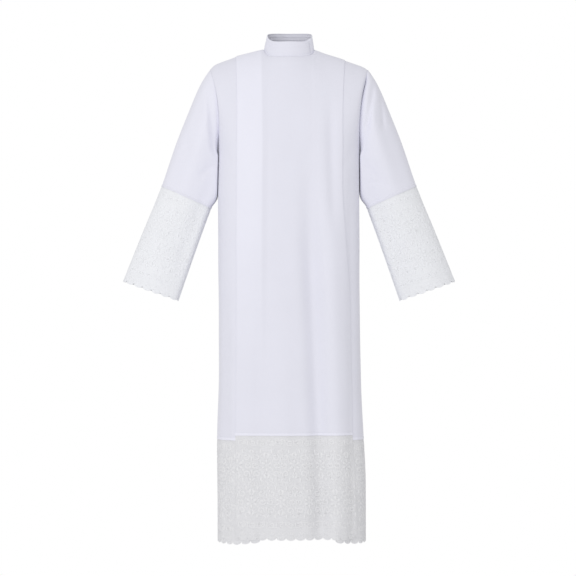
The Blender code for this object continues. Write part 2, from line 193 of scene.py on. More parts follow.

# Creases laid on the body. Each is a line between two places seen from the front, and fades towards
# both over this share of its length.
CREASE_FADE = 0.3
CREASES = {
    -1: (
        # x and z of one end, x and z of the other, depth, half width
        (-0.060, -0.110, -0.066, -0.980, -0.0011, 0.010),
        (-0.100, -0.080, -0.098, -1.080, 0.0012, 0.016),
        (0.118, -0.120, 0.126, -0.560, -0.0065, 0.016),
        (0.196, -0.265, 0.150, -0.360, -0.0014, 0.010),
        (-0.196, -0.275, -0.160, -0.350, -0.0012, 0.010),
    ),
    1: (
        (0.060, -0.120, 0.070, -0.900, -0.0012, 0.012),
        (-0.110, -0.100, -0.118, -0.700, 0.0012, 0.016),
        (-0.196, -0.270, -0.140, -0.370, -0.0016, 0.011),
        (0.196, -0.270, 0.150, -0.350, -0.0014, 0.010),
    ),
}

# Sleeve, from the armhole (0) to the lace seam (1) to the cuff (2). The outer line is its top edge.
SLEEVE_SECTIONS = (
    # place, outer x, outer z, inner x, inner z, half depth
    (0.00, 0.2280, -0.0580, 0.2045, -0.2900, 0.0750),
    (0.10, 0.2440, -0.0800, 0.2055, -0.3080, 0.0800),
    (0.25, 0.2640, -0.1180, 0.2065, -0.3320, 0.0800),
    (0.45, 0.2900, -0.1800, 0.2072, -0.3680, 0.0760),
    (0.70, 0.3250, -0.2680, 0.2085, -0.4120, 0.0680),
    (1.00, 0.3690, -0.3960, 0.2270, -0.4600, 0.0575),
    (1.50, 0.4240, -0.5300, 0.2740, -0.5900, 0.0520),
    (2.00, 0.4780, -0.6640, 0.3190, -0.7200, 0.0475),
    (2.10, 0.4888, -0.6908, 0.3280, -0.7460, 0.0466),
)
SLEEVE_COLUMNS = 150
SLEEVE_EDGE_ROWS = 9  # rows of a sleeve that hold its turned edge
SPREAD_ROW = 5  # the row, counted from the foot, that gives the metres to each unit of place there
CUFF_POINTS = 800  # points round the cuff that its length is measured with
SLEEVE_CLEARANCE = 0.0003
SLEEVE_LENGTH = 0.4  # rough length of the cloth part, for the width of the roll beside its seam
SLEEVE_HEAD = 0.18  # place by which the armhole's shape has given way to the sleeve's own
SLEEVE_FULLER = 0.60  # how squarely the inner half fills its section
SLEEVE_REST = 0.0016  # room between sleeve and body where they hang together
SLEEVE_CLING = 0.40  # how far the drawing-in reaches, to each metre in front of or behind the middle
SLEEVE_REACH = 0.012  # and how far it reaches at the middle
SLEEVE_PULL = 0.85  # how much of the gap it takes up
# Soft folds along each sleeve, which come and go over these lengths of place.
FOLD_COMES = 0.2
FOLD_GOES = 0.3
SLEEVE_FOLDS = (
    # angle from the outer line towards the front, start, end, depth, half width in radians
    (0.95, 0.02, 0.85, -0.0022, 0.26),
    (1.45, 0.06, 0.80, 0.0045, 0.24),
    (2.35, 0.10, 1.60, -0.0050, 0.30),
    (-1.00, 0.02, 0.90, -0.0060, 0.24),
    (-1.55, 0.08, 0.85, 0.0040, 0.26),
    (-2.40, 0.15, 1.70, -0.0050, 0.30),
)
# Creases on each sleeve, by its hand. x counts outwards, away from the body.
SLEEVE_CREASES = {
    1: (
        (0.248, -0.075, 0.216, -0.270, -0.0075, 0.0080),
        (0.262, -0.105, 0.272, -0.250, -0.0050, 0.0070),
        (0.216, -0.330, 0.268, -0.395, -0.0026, 0.0090),
        (0.222, -0.380, 0.290, -0.400, -0.0018, 0.0080),
    ),
    -1: (
        (0.234, -0.080, 0.211, -0.330, -0.0050, 0.0095),
        (0.262, -0.120, 0.240, -0.280, -0.0014, 0.0120),
        (0.216, -0.330, 0.262, -0.380, -0.0026, 0.0100),
        (0.300, -0.240, 0.280, -0.330, -0.0014, 0.0110),
    ),
}
ARMHOLE_ROLLS = {
    # how far the cloth rolls in along each armhole seam, and over what width
    1: (0.0220, 0.0260),
    -1: (0.0000, 0.0060),
}
ROLL_COMES = 0.15  # shares of the armhole's height over which the roll comes and goes
ROLL_GOES = 0.9
SIDE_SEAM_ROLL = 0.0010
SIDE_SEAM_HALF_WIDTH = 0.005
SIDE_SEAM_LEVEL = 0.9  # where the side seam's roll begins

# A turned edge where cloth meets lace: it stands proud and ends in stitches. The lace starts beneath it.
TURNED_EDGE = 0.0070
TURNED_RISE = 0.0007
STITCH_DINT = 0.0005
STITCH_RELIEF = 0.0003
STITCH_OFFSET = 0.0006
THREAD_SINK = 0.0001
LACE_TUCK = 0.0030
LACE_SINK = 0.0006
LACE_GROOVE = 0.0005
SINK_END, SINK_RAMP = 0.004, 0.008
GROOVE_PLACE, GROOVE_WIDTH = 0.0015, 0.0035

SLUB_SCALE = 260.0
CLOUD_SCALE = 9.0
LACE_CLOUD_SCALE = 14.0
WEAVE_RELIEF = 0.00007
THREAD_RELIEF = 0.00005
SATIN_PITCH = 0.0011
STITCH_PITCH = 0.0005
SHEEN = {"Sheen_Weight": 0.35, "Sheen_Roughness": 0.4}
# How white the sleeves and the collar look, where 0 is the body's single cloth and 1 its doubled cloth.
# Single cloth has this share of the full colour.
SINGLE_CLOTH_SHARE = 0.928
SLEEVE_FULLNESS = 0.6
COLLAR_FULLNESS = 0.1
LINED_LENGTH = 0.7  # the pleats' whiteness fades out this far below the arms
LEFT_PAINTED_SHADE_SHARE = 0.2  # and is weaker on the left, which faces away from the key light: painted shade

# The lace's edge and threads.
SCALLOP_PITCH = 0.0275
SCALLOP_DEPTH = 0.0080
POINTS_A_SCALLOP = 12
LACE_DEPTH = 0.286
THREAD_STATIONS = 9
NEAR_SEAM = 0.012  # how far below the seam the lace's rows lie close
BEYOND_TIPS = 1.3  # how far the lace's surface is known, in depths of a scallop
EDGE_START = 0.9  # share of the lace's depth below which its rows follow the scallops

# The floor below the hem, and the large soft light.
FLOOR_DROP = 0.28
FLOOR_MIDDLE = 0.0005  # share of the radius at which the innermost ring lies, too small a hole to see
FLOOR_COLUMNS, FLOOR_ROWS = 96, 24
FLOOR_WALL = 0.010
FLOOR_GREY = 0.9
KEY_PLACE = (-1.35, -3.7, 0.2)
KEY_SIZE = 2.6


def metres(name, description, default):
    """A setting in metres."""
    return FloatProperty(name=name, description=description, default=default, unit="LENGTH")


def tint(name, description, default):
    """A setting that holds a colour."""
    return FloatVectorProperty(name=name, description=description, default=default, subtype="COLOR")


def number(name, description, default):
    """A setting with no unit."""
    kind = IntProperty if isinstance(default, int) else FloatProperty
    return kind(name=name, description=description, default=default)


class AlbCloth(bpy.types.PropertyGroup):
    wall: metres("Cloth wall", "Thickness of the cloth", 0.0006)
    collar_wall: metres("Collar wall", "Thickness of the stiffened collar band", 0.0016)
    colour: tint("Cloth colour", "White with a cool cast", (0.858, 0.858, 0.95))
    thread: metres("Weave pitch", "Spacing of the threads", 0.0006)
    unevenness: metres("Unevenness", "Height of the broad unevenness of hanging cloth", 0.0006)


class AlbLace(bpy.types.PropertyGroup):
    wall: metres("Net wall", "Thickness of the net", 0.0005)
    colour: tint("Lace colour", "White of the net", (0.82, 0.82, 0.845))
    thread_colour: tint("Thread colour", "White of the embroidery", (0.85, 0.85, 0.87))
    sleeve_colour: tint("Sleeve lace colour", "The sleeves' lace is whiter", (0.915, 0.925, 0.96))
    cell: metres("Net cell", "Spacing of the holes in the net", 0.0019)
    relief: metres("Embroidery relief", "Height of a full satin-stitched leaf", 0.0004)
    flowers: number("Scallops a flower", "Width of the flower repeat in scallops", 3)


class AlbStage(bpy.types.PropertyGroup):
    distance: metres("Camera distance", "From the middle of the alb", 5.0)
    view_width: metres("View width", "Width that the camera sees at the alb", 1.6704)
    camera_height: metres("Camera height", "Above the neck", -0.690)
    camera_side: metres("Camera side", "From the middle of the neck", -0.003)
    floor_radius: metres("Floor radius", "Half width of the round floor", 1.0)
    key_power: number("Key light", "Power of the large soft light in watts", 46.0)
    room_light: number("Room light", "Strength of the light from all round", 0.90)


def smooth_between(places, values, at):
    """A smooth curve through a table's values that never overshoots them: cubic between each two rows."""
    steps = np.diff(places)
    slopes = np.diff(values) / steps
    before, after = slopes[:-1], slopes[1:]
    inner = np.where(before * after > 0, 2 * before * after / (before + after + TINY), 0.0)
    tangents = np.concatenate([[slopes[0]], inner, [slopes[-1]]])
    at = np.clip(at, places[0], places[-1])
    row = np.clip(np.searchsorted(places, at) - 1, 0, len(steps) - 1)
    t = (at - places[row]) / steps[row]
    low, high = values[row], values[row + 1]
    return (
        low * (1 + 2 * t) * (1 - t) ** 2
        + high * t * t * (3 - 2 * t)
        + steps[row] * (tangents[row] * t * (1 - t) ** 2 - tangents[row + 1] * t * t * (1 - t))
    )


def read(table, column, at):
    """A column of a table at a place, where the table's first column holds the places."""
    rows = np.array(sorted(table), float)
    return smooth_between(rows[:, 0], rows[:, column], at)


def eased(t):
    """0 up to 0, 1 from 1 on, and a smooth ramp between."""
    t = np.clip(t, 0, 1)
    return t * t * (3 - 2 * t)


def hump(distance, half_width):
    """A soft bump: 1 in the middle and nearly 0 beyond two half widths."""
    return np.exp(-((distance / half_width) ** 2))


def unit(vectors):
    """The same directions at length 1."""
    return vectors / (np.linalg.norm(vectors, axis=-1, keepdims=True) + TINY)


def together(*parts):
    """Arrays spread to one shape and joined as the coordinates of points."""
    return np.stack(np.broadcast_arrays(*parts), axis=-1)


def stretches(*runs):
    """Even steps in stretches, each given as start, end and count. A shared end isn't doubled."""
    return np.concatenate([np.linspace(*runs[0]), *(np.linspace(*run)[1:] for run in runs[1:])])


def path_lengths(points):
    """Distances along a row of points, from its start."""
    return np.concatenate([[0], np.cumsum(np.linalg.norm(np.diff(points, axis=0), axis=1))])


def creases(table, x, z):
    """Sum of creases: each is a bump around the line between its two ends that fades towards both."""
    total = np.zeros(np.broadcast(x, z).shape)
    for x0, z0, x1, z1, depth, half_width in table:
        run, drop = x1 - x0, z1 - z0
        length = math.hypot(run, drop)
        along = ((x - x0) * run + (z - z0) * drop) / length**2
        aside = ((x - x0) * drop - (z - z0) * run) / length
        fade = eased(along / CREASE_FADE) * eased((1 - along) / CREASE_FADE)
        total = total + depth * fade * hump(aside, half_width)
    return total


def unevenness(x, z, phase):
    """Broad gentle waves: the mean of four slanting sines of unlike lengths."""
    waves = (
        # turns a metre across, turns a metre down, phase
        (9.0, 1.3, 0.4),
        (-6.1, 2.9, 1.9),
        (14.3, 3.7, 3.1),
        (3.3, -5.2, 5.0),
    )
    heights = (np.sin(TURN * (x * across + z * down) + start + phase) for across, down, start in waves)
    return sum(heights) / len(waves)


def make_half_section():
    """Half of the chest's section: shares of its length, how far across and forward it is there, and its
    length."""
    turn = np.linspace(0, math.pi / 2, SECTION_POINTS)
    across = np.sin(turn) ** (2 / SECTION_POWER)
    forward = np.cos(turn) ** (2 / SECTION_POWER)
    _, half_width, front, _, _ = BODY_SECTIONS[0]
    share = np.concatenate([[0], np.cumsum(np.hypot(np.diff(across) * half_width, np.diff(forward) * front))])
    return share / share[-1], across, forward, share[-1]


HALF_SHARE, HALF_ACROSS, HALF_FORWARD, HALF_LENGTH = make_half_section()
CHEST_HALF_WIDTH = BODY_SECTIONS[0][HALF_WIDTHS]


def share_at(half_width):
    """The share of a half section's length at a distance from the middle of the body, at chest level."""
    return np.interp(half_width / CHEST_HALF_WIDTH, HALF_ACROSS, HALF_SHARE)


def neck_height(forward):
    """Height of the neck seam: forward is 1 at the front of the neck, 0 at the sides and -1 at the back. It
    is flat across the front and steep at the sides."""
    flatter = np.where(forward > 0, forward * (2 - forward), forward)
    return -NECK_SLOPE * flatter - NECK_DIP * flatter**2


def armhole(down, side):
    """The armhole seam: down runs from 0 at the shoulder to 1 under the arm."""
    lean = 1 - 2 * down
    middle = (ARMHOLE_TOP[0] + ARMHOLE_BOTTOM[0]) / 2
    half = (ARMHOLE_TOP[0] - ARMHOLE_BOTTOM[0]) / 2
    depth = ARMHOLE_DEPTH[side] * np.sqrt(np.clip(1 - lean**2, 0, 1))
    return middle + half * lean - ARMHOLE_BOW * (1 - lean**2), depth


def top_edge(side, across, softened):
    """Depth and height of a panel's top edge: the shoulder seams, and the neck seam between them. softened
    runs from 0, the true edge, to 1, the smooth swell that it becomes a little way down the chest."""
    inside = np.clip(across / (NECK_HALF_WIDTH + NECK_CLEARANCE), -1, 1)
    forward = np.sqrt(1 - inside**2)
    forward = forward + (NECK_SWELL * hump(across, NECK_SWELL_HALF_WIDTH) - forward) * softened
    out = np.abs(across)
    shoulder = np.where(across < 0, read(SHOULDER_LINE, 1, out), read(SHOULDER_LINE, 2, out))
    return forward * (NECK_HALF_DEPTH + NECK_CLEARANCE), shoulder + neck_height(-side * forward)


def parted(side, share, level):
    """Shares moved so that each pleat's edge follows its own line down the body. The middle and the side
    seams stay where they are. The pleat's inner fold stays beside the neck, and moves with its edge further
    down."""
    table = PLEATS[side]
    height = ARMHOLE_BOTTOM[1] * level / np.maximum(level, 1) - np.maximum(level - 1, 0)
    height = np.minimum(height, PLEATS[side][0][0])
    half_width = read(BODY_SECTIONS, HALF_WIDTHS, height)
    wanted = np.where(share < 0, read(table, 1, height), read(table, 2, height)) / half_width
    moved = np.interp(wanted, HALF_ACROSS, HALF_SHARE) - share_at(PLEAT_EDGE)
    half = np.abs(share)
    inner, outer = share_at(PLEAT_INNER - PLEAT_RAMP), share_at(PLEAT_EDGE)
    grown = eased(level)
    beside_neck = np.clip((half - inner) / (outer - inner), 0, 1)
    weight = grown * np.minimum(half / inner, 1) + (1 - grown) * beside_neck
    weight = np.where(half > outer, np.maximum(1 - half, 0) / (1 - outer), weight)
    return share + np.sign(share) * moved * weight


def plain_panel(side, share, level):
    """A panel with no pleat or fold. share runs from -1 to 1 between the side seams. level runs from 0 at the
    top edge to 1 under the arms, and beyond 1 it is 1 plus the distance below."""
    share = parted(side, share, level)
    half = np.abs(share)
    across = np.sign(share) * np.interp(half, HALF_SHARE, HALF_ACROSS)
    forward = np.interp(half, HALF_SHARE, HALF_FORWARD)

    turn = np.clip(level, 0, 1) * math.pi / 2
    out = np.sin(turn) ** SHOULDER_ROUND
    down = 1 - np.cos(turn) ** SHOULDER_ROUND
    arm_width, arm_depth = armhole(down, side)
    hollow = arm_depth * np.where(down > 0.5, 4 * down * (1 - down), 1)
    arm_depth = hollow * (1 - forward) + (arm_depth - hollow) * (1 - forward) ** ARMHOLE_REACH
    chest_depth = BODY_SECTIONS[0][DEPTHS[side]]
    flare = across**TIP_FLARE_POWER
    upper_x = CHEST_HALF_WIDTH * across + (arm_width - CHEST_HALF_WIDTH) * flare
    top_x = CHEST_HALF_WIDTH * across + (ARMHOLE_TOP[0] - CHEST_HALF_WIDTH) * flare
    top_depth, top_height = top_edge(side, top_x, eased(level / NECK_SOFTENING))
    upper_depth = arm_depth + top_depth * (1 - out) + chest_depth * out * forward
    upper_z = top_height + (ARMHOLE_BOTTOM[1] - top_height) * down

    lower_z = ARMHOLE_BOTTOM[1] - np.maximum(level - 1, 0)
    lower_x = read(BODY_SECTIONS, SWAYS, lower_z) + read(BODY_SECTIONS, HALF_WIDTHS, lower_z) * across
    lower_depth = read(BODY_SECTIONS, DEPTHS[side], lower_z) * forward

    low = level > 1
    x = np.where(low, lower_x, upper_x)
    y = side * np.where(low, lower_depth, upper_depth)
    z = np.where(low, lower_z, upper_z)
    return together(x, y, z)


def fold_relief(side, across, height):
    """How far the long folds push the cloth out of its plain section."""
    total = np.zeros(np.broadcast(across, height).shape)
    for top, hem, start, depth, half_width in FOLDS[side]:
        place = top + (hem - top) * eased((start - height) / (start - HEM_HEIGHT))
        total = total + depth * eased((start - height) / FOLD_GROWTH) * hump(across - place, half_width)
    return total


def armhole_roll(hand, z, distance):
    """How far the cloth rolls in at a distance from the armhole seam. It fades at the shoulder and armpit."""
    depth, width = ARMHOLE_ROLLS[hand]
    down = (ARMHOLE_TOP[1] - z) / (ARMHOLE_TOP[1] - ARMHOLE_BOTTOM[1])
    return depth * eased(down / ROLL_COMES) * eased((1 - down) / ROLL_GOES) * hump(distance, width)


def panel(side, share, layers, level, rough):
    """A panel with its pleats, folds and creases: the plain surface moved along its own normal. The cloth
    rolls in along the armholes and the side seams. rough is the height of its unevenness."""
    step = SLOPE_STEP
    middle = plain_panel(side, share, level)
    along = plain_panel(side, share + step, level) - plain_panel(side, share - step, level)
    behind = np.where(level < 1, np.abs(level - step), level)
    downward = plain_panel(side, share, level + step) - plain_panel(side, share, behind)
    normal = unit(np.cross(along, downward) * side)
    x, z = middle[..., 0], middle[..., 2]
    rise = layers * LAYER_STEP + fold_relief(side, x, z)
    rise = rise + creases(CREASES[side], x, z) + rough * unevenness(x, z, side)
    to_edge = (1 - np.abs(share)) * HALF_LENGTH
    rolled = np.where(share > 0, armhole_roll(1, z, to_edge), armhole_roll(-1, z, to_edge))
    rise = rise - SIDE_SEAM_ROLL * eased(level - SIDE_SEAM_LEVEL) * hump(to_edge, SIDE_SEAM_HALF_WIDTH)
    centre = np.where(share[..., None] > 0, 1, (-1, 1, 1)) * ARMHOLE_CENTRE
    return middle + normal * rise[..., None] + (centre - middle) * (rolled / ARMHOLE_RADIUS)[..., None]


def half_columns():
    """Half a panel from its middle to its side seam, as rows of share, layers beneath and share of the
    pleat's drop: the centre, the pleat folded under and out again with round folds, and the side."""
    arc = np.linspace(0, math.pi, 5)
    edge, inner = PLEAT_EDGE - FOLD_RADIUS, PLEAT_INNER + FOLD_RADIUS
    up, seen, hidden = np.linspace(0, 1, 16), np.linspace(0, 1, 20), np.linspace(0, 1, 8)
    ramp = PLEAT_INNER - PLEAT_RAMP * (1 - up)
    sides = np.concatenate([1 - (1 - share_at(edge)) * (1 - np.linspace(0, 1, 24)), NEAR_SIDE_SEAM])
    runs = (
        (share_at(np.linspace(0, ramp[0], 24)), 0, 0),
        (share_at(ramp), 2 * eased(up), 0),
        (share_at(inner + (edge - inner) * seen), 2, 0),
        (share_at(edge + FOLD_RADIUS * np.sin(arc)), 1.5 + 0.5 * np.cos(arc), 0),
        (share_at(edge + (inner - edge) * hidden), 1, 0.5 * hidden),
        (share_at(inner - FOLD_RADIUS * np.sin(arc)), 0.5 + 0.5 * np.cos(arc), 0.5),
        (share_at(inner + (edge - inner) * hidden), 0, 0.5 + 0.5 * hidden),
        (np.sort(sides), 0, 1),
    )
    rows = np.concatenate([together(*run) for run in runs])
    keep = np.concatenate([[True], np.abs(np.diff(rows, axis=0)).sum(axis=1) > 1e-6])
    return rows[keep]


def whole_columns():
    """Both halves of a panel, from the right side seam to the left one: shares, layers and drops."""
    half = half_columns()
    return np.concatenate([half[:0:-1] * (-1, 1, 1), half]).T


def drop_below(share, dropped):
    """How much lower than in the middle the lace seam and the hem hang, past the pleats and at the sides."""
    return SIDE_DROP * np.abs(share) ** 3 + PLEAT_DROP * dropped


def beside_body(hand, points):
    """Sleeve points, with x outwards, drawn to the body where the sleeve hangs against its side: the nearer
    they are, the closer they lie."""
    x, y, z = np.moveaxis(points, -1, 0)
    depth = np.where(y < 0, read(BODY_SECTIONS, DEPTHS[-1], z), read(BODY_SECTIONS, DEPTHS[1], z))
    narrower = np.clip(1 - (np.abs(y) / depth) ** SECTION_POWER, 0, 1) ** (1 / SECTION_POWER)
    beside = hand * read(BODY_SECTIONS, SWAYS, z) + read(BODY_SECTIONS, HALF_WIDTHS, z) * narrower
    gap = x - beside - SLEEVE_REST
    near = eased(1 - gap / (SLEEVE_REACH + SLEEVE_CLING * np.abs(y))) * eased((ARMHOLE_BOTTOM[1] - z) / 0.025)
    return points - together(SLEEVE_PULL * np.maximum(gap, 0) * near, 0, 0)


def sleeve(hand, angle, place, rough):
    """A sleeve's surface. angle is 0 on its outer line and a quarter turn in front. place runs from 0 at the
    armhole to 1 at the lace seam and 2 at the cuff."""
    outer = np.stack([read(SLEEVE_SECTIONS, 1, place), read(SLEEVE_SECTIONS, 2, place)], axis=-1)
    inner = np.stack([read(SLEEVE_SECTIONS, 3, place), read(SLEEVE_SECTIONS, 4, place)], axis=-1)
    middle, half = (outer + inner) / 2, (outer - inner) / 2
    depth = read(SLEEVE_SECTIONS, 5, place)
    reach = np.linalg.norm(half, axis=-1)
    relief = np.zeros(np.broadcast(angle, place).shape)
    for centre, start, end, height, half_width in SLEEVE_FOLDS:
        grown = eased((place - start) / FOLD_COMES) * (1 - eased((place - end) / FOLD_GOES))
        turned = (angle - centre + math.pi) % TURN - math.pi
        relief = relief + height * grown * hump(turned, half_width)
    cosine, sine = np.cos(angle), np.sin(angle)
    x = middle[..., 0] + half[..., 0] * cosine
    z = middle[..., 1] + half[..., 1] * cosine
    relief = relief + rough * unevenness(x * 1.6, z * 1.6, hand * 2.0 + np.sign(sine)) * np.abs(sine)
    down = (1 - cosine) / 2
    seam_height = ARMHOLE_TOP[1] + (ARMHOLE_BOTTOM[1] - ARMHOLE_TOP[1]) * down
    rolled = armhole_roll(hand, seam_height, place * SLEEVE_LENGTH)
    swell = 1 + (relief - rolled) / reach
    fuller = np.sign(sine) * np.abs(sine) ** (1 - SLEEVE_FULLER * eased(-cosine))
    out = middle + half * (cosine * swell)[..., None]
    ring = together(out[..., 0], -depth * fuller * swell, out[..., 1])
    front, back = armhole(down, -1), armhole(down, 1)
    seam_out = np.where(sine > 0, front[0], back[0])
    seam_depth = np.where(sine > 0, -front[1], back[1])
    start = together(seam_out, seam_depth, seam_height)
    start = start + (ARMHOLE_CENTRE - start) * (rolled / ARMHOLE_RADIUS)[..., None]
    points = start + (ring - start) * eased(place / SLEEVE_HEAD)[..., None]
    out, high = points[..., 0], points[..., 2]
    in_front, behind = creases(SLEEVE_CREASES[hand], out, high), creases(SLEEVE_CREASES[-hand], out, high)
    pressed = np.where(sine > 0, in_front, behind)
    points[..., 1] -= np.sign(sine) * np.abs(sine) ** 0.5 * pressed * eased(place / 0.06)
    return (beside_body(hand, points) + (SLEEVE_CLEARANCE, 0, 0)) * (hand, 1, 1)


def scallop(along, pitch):
    """How far a scallop hangs down, at a distance along the lace's edge: half an oval to each pitch."""
    return SCALLOP_DEPTH * np.sqrt(np.clip(1 - (2 * ((along / pitch) % 1) - 1) ** 2, 0, 1))


class Sheet:
    """A surface kept as a fine grid, read at any distance along it and down it and any height above it."""

    def __init__(self, points, along, down, ring, outward):
        if ring:
            points = np.concatenate([points, points[:, :1]], axis=1)
        self.points, self.along, self.down, self.ring = points, along, down, ring
        sideways = np.gradient(points, axis=1)
        if ring:
            sideways[:, 0] = sideways[:, -1] = points[:, 1] - points[:, -2]
        self.normals = unit(np.cross(sideways, np.gradient(points, axis=0)) * outward)

    def at(self, along, down, height):
        """The point there: four grid points around it blended by nearness, and height along the normal."""
        if self.ring:
            along = along % self.along[-1]
        column = np.clip(np.searchsorted(self.along, along, side="right") - 1, 0, len(self.along) - 2)
        row = np.clip(np.searchsorted(self.down, down, side="right") - 1, 0, len(self.down) - 2)
        right = (along - self.along[column]) / (self.along[column + 1] - self.along[column])
        below = (down - self.down[row]) / (self.down[row + 1] - self.down[row])
        right, below = np.clip(right, 0, 1)[..., None], np.clip(below, 0, 1)[..., None]

        def blend(grid):
            upper = grid[row, column] * (1 - right) + grid[row, column + 1] * right
            lower = grid[row + 1, column] * (1 - right) + grid[row + 1, column + 1] * right
            return upper * (1 - below) + lower * below

        return blend(self.points) + blend(self.normals) * height[..., None]


def placed(name, data):
    """A new object with its data, linked to the scene."""
    thing = bpy.data.objects.new(name, data)
    bpy.context.scene.collection.objects.link(thing)
    return thing


def quad_mesh(name, points, quads, uv, material):
    """An object from arrays of points, four-cornered faces and a UV place for every corner."""
    mesh = bpy.data.meshes.new(name)
    mesh.vertices.add(len(points))
    mesh.vertices.foreach_set("co", np.ascontiguousarray(points, dtype=np.float32).ravel())
    mesh.loops.add(quads.size)
    mesh.loops.foreach_set("vertex_index", np.ascontiguousarray(quads, dtype=np.int32).ravel())
    mesh.polygons.add(len(quads))
    mesh.polygons.foreach_set("loop_start", np.arange(0, quads.size, 4, dtype=np.int32))
    mesh.update(calc_edges=True)
    layer = mesh.uv_layers.new(name=UV_NAME)
    layer.uv.foreach_set("vector", np.ascontiguousarray(uv, dtype=np.float32).ravel())
    mesh.shade_smooth()
    mesh.materials.append(material)
    return placed(name, mesh)


def sharpen_rim(mesh):
    """Marks the open edges sharp, so that the wall's rim is shaded apart from its faces."""
    edges = np.empty(len(mesh.loops), dtype=np.int32)
    mesh.loops.foreach_get("edge_index", edges)
    open_edges = np.bincount(edges, minlength=len(mesh.edges)) == 1
    layer = mesh.attributes.get("sharp_edge") or mesh.attributes.new("sharp_edge", "BOOLEAN", "EDGE")
    layer.data.foreach_set("value", open_edges)


def sheet_piece(name, points, uv, wall, material, ring=False, flip=False):
    """A sheet of cloth from rows of points, with its wall from Solidify. uv has one more column on a ring."""
    rows, columns = points.shape[:2]
    row, column = np.meshgrid(np.arange(rows - 1), np.arange(columns if ring else columns - 1), indexing="ij")
    after = (column + 1) % columns
    quads = np.stack([row * columns + column, (row + 1) * columns + column,
                      (row + 1) * columns + after, row * columns + after], axis=-1).reshape(-1, 4)
    corners = np.stack([uv[row, column], uv[row + 1, column],
                        uv[row + 1, column + 1], uv[row, column + 1]], axis=2).reshape(-1, 4, 2)
    if flip:
        quads, corners = quads[:, ::-1], corners[:, ::-1]
    piece = quad_mesh(name, points.reshape(-1, 3), quads, corners, material)
    sharpen_rim(piece.data)
    solidify = piece.modifiers.new("Cloth wall", "SOLIDIFY")
    solidify.thickness = wall
    solidify.offset = 0
    solidify.use_even_offset = False
    return piece


def signed_volume(points, quads):
    """Volume inside closed shapes, below zero if their faces point in: a tetrahedron to each half quad."""
    a, b, c, d = (points[quads[:, corner]] for corner in range(4))
    return np.einsum("ij,ij->", a, np.cross(b, c) + np.cross(c, d)) / 6


def thread_piece(name, sheet, strokes, relief, material, sink):
    """Raised embroidery: each stroke is a row of stations, given as distance along, distance down and half
    width. It becomes a closed thread with a rounded top, whose foot lies sink below the sheet's surface."""
    count, stations = strokes.shape[:2]
    run = unit(np.gradient(strokes[..., :2], axis=1))
    across = np.stack([-run[..., 1], run[..., 0]], axis=-1)
    aside, lift = np.array([-1, -0.5, 0.5, 1]), np.array([0, 1, 1, 0])
    half_width = strokes[..., 2]
    place = strokes[:, :, None, :2] + across[:, :, None] * (half_width[..., None] * aside)[..., None]
    full = np.minimum(1, half_width / (1.2 * MILLIMETRE)) ** 0.7
    height = full[..., None] * lift * relief - sink
    points = sheet.at(place[..., 0], place[..., 1], height)
    first = (np.arange(count) * stations * 4)[:, None, None]
    station, corner = np.meshgrid(np.arange(stations - 1), np.arange(4), indexing="ij")
    ahead = (corner + 1) % 4
    ring = np.stack([station * 4 + corner, station * 4 + ahead,
                     (station + 1) * 4 + ahead, (station + 1) * 4 + corner], axis=-1).reshape(1, -1, 4)
    last = (stations - 1) * 4
    caps = np.array([[[3, 2, 1, 0], [last, last + 1, last + 2, last + 3]]])
    quads = (first + np.concatenate([ring, caps], axis=1)).reshape(-1, 4)
    lengths = np.linalg.norm(np.diff(strokes[..., :2], axis=1), axis=-1)
    distance = np.concatenate([np.zeros((count, 1)), np.cumsum(lengths, axis=1)], axis=1)
    uv = together(distance[..., None], half_width[..., None] * aside)
    flat = points.reshape(-1, 3)
    if signed_volume(flat, quads) < 0:
        quads = quads[:, ::-1]
    return quad_mesh(name, flat, quads, uv.reshape(-1, 2)[quads], material)


def petal(x, y, angle, inner, outer, width):
    """A straight stroke away from a middle, widest past its half way. Angles turn from straight up."""
    t = np.linspace(0, 1, THREAD_STATIONS)
    reach = inner + (outer - inner) * t
    half_width = 0.06 + width / 2 * np.sin(math.pi * t**1.25) ** 0.8
    return np.stack([x + reach * np.sin(angle), y - reach * np.cos(angle), half_width], axis=-1)


def vine(x0, y0, x1, y1, bow, width, swell=0.0):
    """A stroke between two places, bowed to its left by a share of its length. swell makes it a leaf."""
    t = np.linspace(0, 1, THREAD_STATIONS)
    lift = bow * 4 * t * (1 - t)
    x = x0 + (x1 - x0) * t + (y1 - y0) * lift
    y = y0 + (y1 - y0) * t - (x1 - x0) * lift
    half_width = width / 2 * (1 - 0.5 * t) + swell / 2 * np.sin(math.pi * t) ** 0.8
    return np.stack([x, y, half_width], axis=-1)


def scroll(x, y, radius, start, turns, width):
    """A spiral stroke that winds in to a third of its radius. turns below zero wind the other way."""
    t = np.linspace(0, 1, THREAD_STATIONS)
    angle = start + TURN * turns * t
    reach = radius * (1 - 0.72 * t)
    half_width = width / 2 * (0.75 + 0.5 * t)
    return np.stack([x + reach * np.sin(angle), y - reach * np.cos(angle), half_width], axis=-1)


def mirrored(strokes):
    """The strokes and their mirror images to the other side of the middle."""
    return strokes + [stroke * (-1, 1, 1) for stroke in strokes]


def flower(size, petals):
    """An open flower: a ring of broad petals around a coil."""
    strokes = [petal(0, 0, TURN * k / petals, 0.34 * size, size, 0.58 * size) for k in range(petals)]
    return strokes + [scroll(0, 0, 0.26 * size, 0, 1.2, 0.16 * size)]


